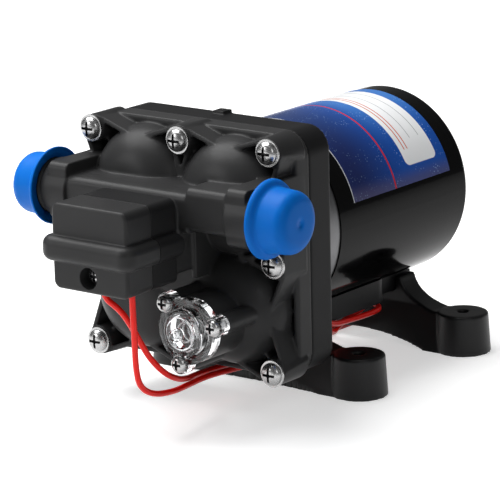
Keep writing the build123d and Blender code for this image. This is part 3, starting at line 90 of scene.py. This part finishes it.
def eased(node, material, voxel, passes, keep):
    """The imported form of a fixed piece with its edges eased, as its mould leaves them."""
    piece = bpy.data.objects.new(node + "_moulding", cad[node].data.copy())
    scene.collection.objects.link(piece)
    skin = piece.modifiers.new("skin", "REMESH")
    skin.mode = "VOXEL"
    skin.voxel_size = voxel * 1
    ease = piece.modifiers.new("ease", "SMOOTH")
    ease.factor = 0.5
    ease.iterations = passes
    thin = piece.modifiers.new("thin", "DECIMATE")
    thin.ratio = keep
    seen = piece.evaluated_get(bpy.context.evaluated_depsgraph_get())
    mesh = bpy.data.meshes.new_from_object(seen)
    piece.modifiers.clear()
    piece.data = mesh
    mesh.materials.clear()
    mesh.materials.append(material)
    mesh.shade_smooth()
    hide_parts(node)
    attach(piece, "root")
    return piece


rubber = moulded("bar_rubber", (0.0035, 0.0035, 0.004), 0.4, drift=0.2, grain=0.35, pitch=0.6 * mm, shine=0.3)
eased("rear_mount_bar", rubber, voxel=0.5 * mm, passes=3, keep=0.5)
front_bar = eased("front_mount_bar", rubber, voxel=0.5 * mm, passes=3, keep=0.5)
arch_half, arch_height, arch_margin, sole_height = 30 * mm, 4.6 * mm, 0.5 * mm, 0.25 * mm
facing_down = -0.3
for corner in front_bar.data.vertices:
    ceiling = arch_height * (1 - (corner.co.x / arch_half) ** 2)
    under_arch = abs(corner.co.x) < arch_half and corner.co.z < ceiling + arch_margin
    if under_arch and corner.normal.z < facing_down:
        corner.co.z = min(corner.co.z, sole_height)


# Motor saddle
# A glass-filled plastic plate that cradles the motor can. Four screws from below hold it to the bars.

dark_plastic = moulded("housing_plastic", (0.009, 0.009, 0.0095), 0.42, grain=0.3, pitch=0.45 * mm,
                       shine=0.1)
saddle_plastic = moulded("saddle_plastic", (0.004, 0.004, 0.0045), 0.45, grain=0.3, pitch=0.45 * mm,
                         shine=0.15)
dress("motor_saddle", saddle_plastic)


def turned_steel(name, colour, roughness):
    """Bright metal off a lathe or a header: faint rings of tooling, and a shine that varies with them."""
    made = moulded(name, colour, roughness, drift=0.1, grain=0.08, pitch=0.2 * mm, metallic=1.0)
    nodes, links = made.node_tree.nodes, made.node_tree.links
    shader = nodes["Principled BSDF"]
    place = nodes.new("ShaderNodeTexCoord")
    tool = nodes.new("ShaderNodeTexWave")
    tool.wave_type = "RINGS"
    tool.rings_direction = "Y"
    tool.inputs["Scale"].default_value = 450.0
    tool.inputs["Distortion"].default_value = 1.5
    marks = nodes.new("ShaderNodeMapRange")
    marks.inputs["To Min"].default_value = roughness * 0.8
    marks.inputs["To Max"].default_value = roughness * 1.25
    links.new(place.outputs["Object"], tool.inputs["Vector"])
    links.new(tool.outputs["Fac"], marks.inputs["Value"])
    links.new(marks.outputs["Result"], shader.inputs["Roughness"])
    return made


bright_steel = turned_steel("screw_steel", (0.42, 0.42, 0.42), 0.26)
plain_steel = turned_steel("machined_steel", (0.4, 0.4, 0.4), 0.28)
dress("saddle_screws", bright_steel)


# Motor can and rear cap
# A deep-drawn steel tube with gloss black paint, and a rear cap pressed into its end in the same paint.

gloss_black = moulded("can_paint", (0.0018, 0.0018, 0.002), 0.1, drift=0.25, grain=0.05, pitch=1.4 * mm,
                      shine=0.08)
dress("motor_can", gloss_black)
dress("rear_end_cap", gloss_black)


# Motor label
# A printed film wrapped round the can, open below. It runs from violet through navy to bright blue,
# with a red line, a field of pale specks, a white panel left blank and a white front edge.

axis_z, label_radius = 62.3 * mm, 37.4 * mm
label_front, label_back = -26.9 * mm, 36.9 * mm
label_low_edge = radians(14.1)
red_line, white_edge = 0.6 * mm, 0.4 * mm
panel_low, panel_middle, panel_half, panel_round = radians(24.6), 21.1 * mm, 10.2 * mm, 2.6 * mm
print_blur = 0.12 * mm


class Print:
    """Node sums on the film's two measures: the place along the motor and the angle round it."""

    def __init__(self, name):
        self.material = bpy.data.materials.new(name)
        self.material.use_nodes = True
        self.nodes = self.material.node_tree.nodes
        self.links = self.material.node_tree.links
        self.shader = self.nodes["Principled BSDF"]
        place = self.nodes.new("ShaderNodeTexCoord")
        self.place = place.outputs["Object"]
        parts = self.nodes.new("ShaderNodeSeparateXYZ")
        self.links.new(self.place, parts.inputs[0])
        self.along = parts.outputs["Y"]
        height = self.sum("SUBTRACT", parts.outputs["Z"], axis_z)
        across = self.sum("ABSOLUTE", parts.outputs["X"])
        self.angle = self.sum("ARCTAN2", height, across)

    def sum(self, operation, first, second=None):
        made = self.nodes.new("ShaderNodeMath")
        made.operation = operation
        for socket, value in zip(made.inputs, (first, second)):
            if value is None:
                continue
            if isinstance(value, (int, float)):
                socket.default_value = value
            else:
                self.links.new(value, socket)
        return made.outputs[0]

    def step(self, value, start, end, low=0.0, high=1.0):
        made = self.nodes.new("ShaderNodeMapRange")
        made.interpolation_type = "SMOOTHSTEP"
        self.links.new(value, made.inputs["Value"])
        made.inputs["From Min"].default_value = start
        made.inputs["From Max"].default_value = end
        made.inputs["To Min"].default_value = low
        made.inputs["To Max"].default_value = high
        return made.outputs["Result"]

    def band(self, value, centre, half, soft):
        gap = self.sum("ABSOLUTE", self.sum("SUBTRACT", value, centre))
        return self.step(gap, half - soft, half + soft, 1.0, 0.0)

    def over(self, below, colour, share):
        made = self.nodes.new("ShaderNodeMix")
        made.data_type = "RGBA"
        for socket, value in ((6, below), (7, colour)):
            if isinstance(value, tuple):
                made.inputs[socket].default_value = (*value, 1)
            else:
                self.links.new(value, made.inputs[socket])
        self.links.new(share, made.inputs[0])
        return made.outputs[2]


film = Print("label_film")
field = film.step(film.along, label_front + 4 * mm, label_back - 20 * mm)
ink = film.over((0.004, 0.013, 0.09), (0.003, 0.07, 0.38), field)
# Lighter blue towards the top of the can, stronger towards the back: a painted sheen standing in for the
# overhead light's reflection.
painted_top_sheen = film.step(film.angle, radians(35), radians(85))
ink = film.over(ink, (0.05, 0.20, 0.55), film.sum("MULTIPLY", painted_top_sheen, film.step(field, 0.5, 1.0, 0.1, 0.8)))
fog = film.step(film.angle, label_low_edge, radians(25), 0.75, 0.0)
ink = film.over(ink, (0.08, 0.075, 0.16), fog)
specks = film.nodes.new("ShaderNodeTexVoronoi")
specks.inputs["Scale"].default_value = 950.0
film.links.new(film.place, specks.inputs["Vector"])
dots = film.step(specks.outputs["Distance"], 0.12, 0.3, 1.0, 0.0)
scatter = film.nodes.new("ShaderNodeTexNoise")
scatter.inputs["Scale"].default_value = 160.0
film.links.new(film.place, scatter.inputs["Vector"])
lit = film.step(scatter.outputs["Fac"], 0.45, 0.7)
crowd = film.step(film.along, label_front + 15 * mm, label_back, 0.35, 0.9)
ink = film.over(ink, (0.35, 0.55, 0.85), film.sum("MULTIPLY", film.sum("MULTIPLY", dots, lit), crowd))
ink = film.over(ink, (0.55, 0.02, 0.03), film.band(film.along, red_line, 0.42 * mm, 0.14 * mm))
side = film.sum("SUBTRACT", film.sum("ABSOLUTE", film.sum("SUBTRACT", film.along, panel_middle)),
                panel_half - panel_round)
above_edge = film.sum("MULTIPLY", film.sum("SUBTRACT", film.angle, panel_low), label_radius)
drop = film.sum("SUBTRACT", panel_round, above_edge)
side = film.sum("MAXIMUM", side, 0.0)
drop = film.sum("MAXIMUM", drop, 0.0)
corner = film.sum("SQRT", film.sum("ADD", film.sum("MULTIPLY", side, side), film.sum("MULTIPLY", drop, drop)))
panel = film.step(corner, panel_round - print_blur, panel_round + print_blur, 1.0, 0.0)
ink = film.over(ink, (0.88, 0.89, 0.90), panel)
orange, grey = (0.62, 0.10, 0.03), (0.30, 0.31, 0.33)
for centre, half, start, colour in ((13.9, 0.28, 34, orange), (15.9, 0.28, 34, orange),
                                    (20.9, 0.16, 40, grey), (26.7, 0.16, 40, grey)):
    rule = film.band(film.along, centre * mm, half * mm, 0.1 * mm)
    begun = film.step(film.angle, radians(start), radians(start + 1))
    ink = film.over(ink, colour, film.sum("MULTIPLY", rule, begun))
edge = film.step(film.along, label_front + white_edge - 0.15 * mm, label_front + white_edge, 1.0, 0.0)
ink = film.over(ink, (0.62, 0.64, 0.68), edge)
film.links.new(ink, film.shader.inputs["Base Color"])
film.shader.inputs["Roughness"].default_value = 0.2
film.shader.inputs["Specular IOR Level"].default_value = 0.3
dress("motor_label", film.material)


# Front end bell
# The cast aluminium end of the motor, seen as a bright ring behind the pump. Two long bolts
# hold it and the rear cap to the can.

cast = moulded("bell_casting", (0.16, 0.16, 0.165), 0.36, drift=0.15, grain=0.5, pitch=0.8 * mm, metallic=1.0)
dress("front_end_bell", cast)
dress("through_bolts", bright_steel)


# Magnets, armature and brushes
# Inside the can two ferrite magnets surround a laminated armature with copper windings and a
# commutator, and carbon brushes are pressed onto it by coil springs.

ferrite = moulded("magnet_ferrite", (0.05, 0.05, 0.052), 0.62, grain=0.6, pitch=0.7 * mm)
copper = moulded("winding_copper", (0.62, 0.24, 0.1), 0.3, grain=0.5, pitch=0.9 * mm, metallic=1.0)
carbon = moulded("brush_carbon", (0.02, 0.02, 0.02), 0.7, grain=0.6, pitch=0.3 * mm)
dress("magnets", ferrite)
for node in ("armature_windings", "commutator"):
    dress(node, copper)
dress("brushes", carbon)
turned_nodes = ("brush_springs", "armature_core", "motor_shaft", "front_bearing_outer", "front_bearing_inner",
                "rear_bearing_outer", "rear_bearing_inner", "cam_hub", "wobble_bearing_outer",
                "wobble_bearing_inner")
for node in turned_nodes:
    dress(node, plain_steel)


# Lead grommet
# A black rubber ring in the rear cap through which the switch's lead enters the motor.

dress("lead_grommet", rubber)


# Drive housing
# The square moulding behind the head. It holds the wobble drive and bolts to the motor's front.

eased("drive_housing", dark_plastic, voxel=0.5 * mm, passes=3, keep=0.4)


# Wobble drive, diaphragm and valves
# A white plastic plate nods on the inclined hub and works four pistons in a rubber diaphragm.
# The valve plate before it has four inlet valves and one outlet valve of black rubber.

white_plastic = moulded("acetal", (0.66, 0.66, 0.63), 0.36, drift=0.04, grain=0.15)
soft_rubber = moulded("membrane_rubber", (0.02, 0.02, 0.021), 0.6, grain=0.3, pitch=0.5 * mm)
for node in ("wobble_plate", "piston_plates", "valve_plate"):
    dress(node, white_plastic)
for node in ("diaphragm", "inlet_valves", "outlet_valve"):
    dress(node, soft_rubber)
dress("piston_screws", bright_steel)


# Pump head
# The front cover, one moulding in dark grey glass-filled plastic: four domes over the valves,
# screw bosses, the two ports and the barrel of the check valve.

grey_plastic = moulded("head_plastic", (0.027, 0.027, 0.0275), 0.37, drift=0.1, grain=0.35, pitch=0.4 * mm,
                       shine=0.12)
eased("pump_head", grey_plastic, voxel=0.42 * mm, passes=4, keep=0.35)


# Head screws
# Eight bright self-tapping screws with round heads and a cross recess, each with its pressed washer.

# The cross recesses get a dull dark grey: painted shade standing in for the darkness that falls in them.
painted_recess_shade = moulded("recess_shade", (0.012, 0.012, 0.013), 0.55, grain=0.4, pitch=0.2 * mm, shine=0.2)


def recessed(node, places, top, floor, reach, body):
    """A group of screws with the walls and floor of each cross recess painted a dull dark grey, as painted
    shade.

    The places are the screws' centres, top and floor the recess's ends along the pump, in millimetres."""
    piece = bpy.data.objects.new(node + "_shaded", cad[node].data.copy())
    scene.collection.objects.link(piece)
    mesh = piece.data
    mesh.materials.clear()
    mesh.materials.append(bright_steel)
    mesh.materials.append(painted_recess_shade)
    for face in mesh.polygons:
        spot = cad[node].matrix_world @ face.center
        away = min(((spot.x - x * mm) ** 2 + (spot.z - z * mm) ** 2) ** 0.5 for x, z in places)
        inside = away < (reach + 0.08) * mm and (top - 0.3) * mm < spot.y < (floor + 0.1) * mm
        wall_or_floor = abs(face.normal.y) < 0.55 or spot.y > (floor - 0.06) * mm
        if inside and wall_or_floor:
            face.material_index = 1
    piece.matrix_world = cad[node].matrix_world.copy()
    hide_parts(node)
    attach(piece, body)


head_screw_places = [(x, z) for x in (-41.2, 0, 41.2) for z in (20.2, 102.6)] + [(-42.6, 61.4), (42.6, 61.4)]
recessed("head_screws", head_screw_places, top=-89.2, floor=-87.75, reach=2.67, body="root")


# Check valve
# A clear cover with three ears closes the valve's barrel. The white poppet, its steel spring and
# the rubber ring show through it, and three small screws hold it.

clear = bpy.data.materials.new("clear_cover")
clear.use_nodes = True
shader = clear.node_tree.nodes["Principled BSDF"]
shader.inputs["Base Color"].default_value = (0.93, 0.94, 0.95, 1)
shader.inputs["Transmission Weight"].default_value = 1.0
shader.inputs["IOR"].default_value = 1.45
ripple = clear.node_tree.nodes.new("ShaderNodeTexNoise")
ripple.inputs["Scale"].default_value = 260.0
place = clear.node_tree.nodes.new("ShaderNodeTexCoord")
clear.node_tree.links.new(place.outputs["Object"], ripple.inputs["Vector"])
haze = clear.node_tree.nodes.new("ShaderNodeMapRange")
haze.inputs["To Min"].default_value = 0.02
haze.inputs["To Max"].default_value = 0.05
clear.node_tree.links.new(ripple.outputs["Fac"], haze.inputs["Value"])
clear.node_tree.links.new(haze.outputs["Result"], shader.inputs["Roughness"])
dress("valve_cover", clear)
dress("valve_poppet", white_plastic)
dress("valve_spring", bright_steel)
dress("valve_o_ring", soft_rubber)
recessed("valve_screws", [(33.65, 42.29), (11.74, 48.16), (17.61, 26.25)], top=-112.9, floor=-111.85,
         reach=1.92, body="root")


# Pressure switch
# A black box in two halves on the head's middle. Inside, a diaphragm moves a sprung plunger onto a
# small switch, and the screw in its front sets the pressure.

black_plastic = moulded("switch_plastic", (0.017, 0.017, 0.0175), 0.45, grain=0.5, pitch=0.4 * mm,
                        shine=0.2)
back_plastic = moulded("switch_back_plastic", (0.010, 0.010, 0.0105), 0.5, grain=0.5, pitch=0.4 * mm,
                       shine=0.1)
eased("switch_base", back_plastic, voxel=0.36 * mm, passes=2, keep=0.4)
eased("switch_cover", black_plastic, voxel=0.3 * mm, passes=2, keep=0.4)
recessed("adjusting_screw", [(-0.9, 61.7)], top=-134.85, floor=-134.0, reach=1.86, body="adjuster")
dress("switch_diaphragm", soft_rubber)
dress("switch_plunger", white_plastic)
dress("switch_spring", plain_steel)
dress("microswitch", black_plastic)
dress("switch_terminals", copper)


# Dust caps
# Soft blue caps pushed over the two port threads for shipping: a thin wall, a flared lip at the
# mouth and a rounded end with the small sunk mark of the mould's gate.

blue = moulded("cap_blue", (0.0, 0.13, 0.52), 0.45, drift=0.05, grain=0.08, pitch=0.7 * mm, shine=0.1)
shader = blue.node_tree.nodes["Principled BSDF"]
shader.inputs["Subsurface Weight"].default_value = 0.25
shader.inputs["Subsurface Radius"].default_value = (0.001, 0.002, 0.004)

cap_mouth, port_y, port_z = 49.6 * mm, -97.3 * mm, 81.7 * mm
round_middle, round_reach = (9.6, 7.4), (4.25, 4.2)
end_face = [(13.65, 0.0), (13.65, 0.9), (13.75, 1.1), (14.0, 1.3), (14.0, 3.0), (13.95, 6.0), (13.85, 7.4)]
rounded_end = [(round_middle[0] + round_reach[0] * cos(radians(angle)),
                round_middle[1] + round_reach[1] * sin(radians(angle))) for angle in range(15, 91, 15)]
flared_lip = [(3.6, 11.93), (3.0, 12.08), (2.5, 12.45), (2.2, 13.0), (1.9, 13.7), (1.4, 14.25), (0.7, 14.55),
              (0.0, 14.6)]
bore = [(0.0, 13.95), (0.55, 13.8), (0.95, 13.35), (0.95, 10.7), (11.55, 10.7), (12.5, 10.2), (12.75, 9.5),
        (12.75, 0.0)]


def turned_cap(node, side):
    """A cap turned from its cross-section, which runs from the end's middle round the lip to the inside."""
    line = end_face + rounded_end + flared_lip + bore
    around = 96
    spots, faces = [], []
    for along, radius in line:
        for step in range(around):
            turn = 2 * pi * step / around
            spots.append((side * (cap_mouth + along * mm), port_y + radius * cos(turn) * mm,
                          port_z + radius * sin(turn) * mm))
    for ring in range(len(line) - 1):
        for step in range(around):
            after = (step + 1) % around
            quad = (ring * around + step, ring * around + after, (ring + 1) * around + after,
                    (ring + 1) * around + step)
            faces.append(quad if side < 0 else quad[::-1])
    cap = bpy.data.objects.new(node + "_turned", bpy.data.meshes.new(node + "_turned"))
    scene.collection.objects.link(cap)
    cap.data.from_pydata(spots, [], faces)
    weld = cap.modifiers.new("weld", "WELD")
    weld.merge_threshold = 0.001 * mm
    seen = cap.evaluated_get(bpy.context.evaluated_depsgraph_get())
    closed = bpy.data.meshes.new_from_object(seen)
    cap.modifiers.clear()
    cap.data = closed
    closed.materials.append(blue)
    closed.shade_smooth()
    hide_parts(node)
    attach(cap, node)


turned_cap("inlet_cap", -1)
turned_cap("outlet_cap", 1)


# Leads
# Two red stranded wires leave the switch. One runs under the pump to the motor, and the other is the
# supply lead, whose spare length lies in a small coil behind the motor and ends in bare copper.

red = moulded("wire_red", (0.86, 0.008, 0.003), 0.3, drift=0.06, grain=0.05, pitch=1.2 * mm)
wire_diameter = 2.3 * mm


def wire(name, route):
    curve = bpy.data.curves.new(name, "CURVE")
    curve.dimensions = "3D"
    curve.bevel_depth = wire_diameter / 2
    curve.bevel_resolution = 5
    curve.resolution_u = 10
    curve.use_fill_caps = True
    spline = curve.splines.new("NURBS")
    spline.points.add(len(route) - 1)
    for point, place in zip(spline.points, route):
        point.co = (*[v * mm for v in place], 1)
    spline.order_u = 3
    spline.use_endpoint_u = True
    curve.materials.append(red)
    piece = bpy.data.objects.new(name, curve)
    scene.collection.objects.link(piece)
    return piece


switch_lead_route = [
    (-2.4, -129.0, 60.0), (-2.4, -129.0, 53.0), (2.5, -125.2, 48.0), (5.7, -123.0, 42.0), (7.6, -120.0, 34.5),
    (9.3, -116.4, 27.6), (11.0, -111.0, 21.6), (10.2, -103.0, 17.4), (6.0, -92.0, 14.2), (1.2, -80.0, 12.2),
    (0.6, -66.0, 11.4), (5.2, -54.5, 12.6), (15.0, -48.4, 18.8), (22.4, -38.6, 25.2), (23.8, -30.0, 23.8),
    (22.6, -22.0, 20.9), (20.3, -12.5, 19.4), (19.6, -2.0, 18.6), (19.4, 8.0, 18.2), (17.6, 15.2, 18.0),
    (11.0, 19.4, 18.6), (2.5, 19.8, 15.8), (-5.2, 19.2, 11.2), (-11.4, 19.4, 5.8), (-14.4, 23.3, 2.1),
    (-14.4, 29.5, 1.3), (-14.3, 37.0, 1.2), (-14.0, 43.8, 1.3), (-12.4, 50.6, 2.4), (-10.4, 57.4, 6.4),
    (-9.0, 63.2, 12.4), (-8.4, 66.6, 20.0), (-8.5, 67.2, 28.2), (-8.8, 64.4, 35.6), (-9.0, 58.0, 39.3),
    (-9.0, 51.4, 39.3)]
switch_wire = wire("switch_wire", switch_lead_route)
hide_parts("switch_lead")
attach(switch_wire, "root")

supply_lead_route = [
    (11.7, -129.0, 60.0), (11.7, -129.0, 51.5), (12.0, -128.8, 40.0), (10.8, -127.3, 28.0),
    (10.0, -124.4, 19.6), (10.4, -117.0, 15.0), (10.0, -105.0, 13.2), (7.4, -93.0, 12.4),
    (5.2, -80.0, 11.8), (5.4, -67.0, 11.0), (9.8, -55.4, 11.6), (19.4, -47.8, 16.6),
    (25.4, -37.8, 22.3), (25.2, -29.5, 20.7), (21.5, -21.5, 17.2), (17.2, -13.0, 16.9),
    (15.5, -3.0, 18.6), (15.3, 5.0, 19.0), (12.2, 11.8, 19.2), (4.5, 14.6, 16.8),
    (-4.5, 14.0, 12.4), (-12.6, 14.0, 7.0), (-17.2, 17.8, 3.0), (-17.4, 24.8, 1.3),
    (-17.2, 31.5, 1.2), (-17.4, 37.4, 1.2), (-17.7, 42.5, 1.2), (-19.9, 46.4, 1.2), (-23.7, 48.7, 1.2),
    (-28.0, 48.7, 1.2)]
coil_radius, coil_pitch, coil_rise, coil_turns = 15.3, 2.9, 2.9, 2
coil_centre, coil_floor, points_per_turn, climb_turns = (-28.0, 64.0), 1.2, 16, 0.5
for step in range(1, 2 * coil_turns * points_per_turn + 1):
    turn = step / points_per_turn
    reach = coil_radius - coil_pitch * min(turn, 2 * coil_turns - turn)
    climb = min(max(turn - coil_turns + climb_turns / 2, 0), climb_turns) / climb_turns
    angle = -pi / 2 - 2 * pi * turn
    supply_lead_route.append((coil_centre[0] + reach * cos(angle), coil_centre[1] + reach * sin(angle),
                              coil_floor + coil_rise * climb))
supply_wire = wire("supply_wire", supply_lead_route)
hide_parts("supply_lead", "supply_lead_coil")
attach(supply_wire, "root")
dress("supply_lead_strands", copper)


# Floor and backdrop
# A plain white sweep. Cameras and mirrors see it white, and it keeps the pump's soft shadow.

def sweep_material(name, shade, glow):
    made = bpy.data.materials.new(name)
    made.use_nodes = True
    nodes, links = made.node_tree.nodes, made.node_tree.links
    shader = nodes["Principled BSDF"]
    shader.inputs["Base Color"].default_value = (shade, shade, shade, 1)
    shader.inputs["Roughness"].default_value = 0.9
    rays = nodes.new("ShaderNodeLightPath")
    seen = nodes.new("ShaderNodeMath")
    seen.operation = "MAXIMUM"
    links.new(rays.outputs["Is Camera Ray"], seen.inputs[0])
    links.new(rays.outputs["Is Glossy Ray"], seen.inputs[1])
    both = nodes.new("ShaderNodeMath")
    both.operation = "MAXIMUM"
    links.new(seen.outputs[0], both.inputs[0])
    links.new(rays.outputs["Is Transmission Ray"], both.inputs[1])
    strength = nodes.new("ShaderNodeMath")
    strength.operation = "MULTIPLY"
    strength.inputs[1].default_value = glow
    links.new(both.outputs[0], strength.inputs[0])
    shader.inputs["Emission Color"].default_value = (1, 1, 1, 1)
    links.new(strength.outputs[0], shader.inputs["Emission Strength"])
    return made


floor_half = 6.0
corners = [(-floor_half, -floor_half, 0), (floor_half, -floor_half, 0), (floor_half, floor_half, 0),
           (-floor_half, floor_half, 0)]
sheet = bpy.data.objects.new("floor", bpy.data.meshes.new("floor"))
sheet.data.from_pydata(corners, [], [(0, 1, 2, 3)])
sheet.data.materials.append(sweep_material("floor_white", 0.8, 0.5))
scene.collection.objects.link(sheet)

world = bpy.data.worlds.new("studio")
scene.world = world
world.use_nodes = True
nodes, links = world.node_tree.nodes, world.node_tree.links
nodes.clear()
rays = nodes.new("ShaderNodeLightPath")
seen = nodes.new("ShaderNodeMath")
seen.operation = "MAXIMUM"
links.new(rays.outputs["Is Camera Ray"], seen.inputs[0])
links.new(rays.outputs["Is Transmission Ray"], seen.inputs[1])
room = nodes.new("ShaderNodeBackground")
room.inputs["Color"].default_value = (1, 1, 1, 1)
room.inputs["Strength"].default_value = 0.18
white = nodes.new("ShaderNodeBackground")
white.inputs["Color"].default_value = (1, 1, 1, 1)
white.inputs["Strength"].default_value = 1.0
choice = nodes.new("ShaderNodeMixShader")
out = nodes.new("ShaderNodeOutputWorld")
links.new(seen.outputs[0], choice.inputs[0])
links.new(room.outputs[0], choice.inputs[1])
links.new(white.outputs[0], choice.inputs[2])
links.new(choice.outputs[0], out.inputs["Surface"])


# Lamps
# One wide soft box overhead and to the left, a small one at the right front, and a fill at the left.

def soft_box(name, place, aim, size, power):
    data = bpy.data.lights.new(name, "AREA")
    data.shape = "RECTANGLE"
    data.size, data.size_y = size
    data.energy = power
    lamp = bpy.data.objects.new(name, data)
    scene.collection.objects.link(lamp)
    lamp.location = place
    lamp.rotation_euler = (Vector(aim) - Vector(place)).to_track_quat("-Z", "Y").to_euler()


aim = (0, -0.04, 0.06)
soft_box("overhead", (-0.4, -0.15, 0.92), aim, (0.8, 0.8), 15.0)
soft_box("right_front", (0.95, -0.6, 0.6), aim, (0.3, 0.5), 1.4)
soft_box("left_front", (-0.6, -1.0, 0.5), aim, (0.5, 0.5), 4.2)


# Camera
# It looks from the pump's front right and a little above, with a long lens.

eye, target = Vector((0.7205, -0.9738, 0.3543)), Vector((0.0320, -0.0860, 0.0655))
camera_data = bpy.data.cameras.new("camera")
camera_data.sensor_width = 36.0
camera_data.lens = 230.7
camera = bpy.data.objects.new("camera", camera_data)
scene.collection.objects.link(camera)
roll = Matrix.Rotation(radians(-1.37), 4, "Z")
turn = (target - eye).to_track_quat("-Z", "Y").to_matrix().to_4x4()
camera.matrix_world = Matrix.Translation(eye) @ turn @ roll
scene.camera = camera
scene.view_settings.view_transform = "Standard"
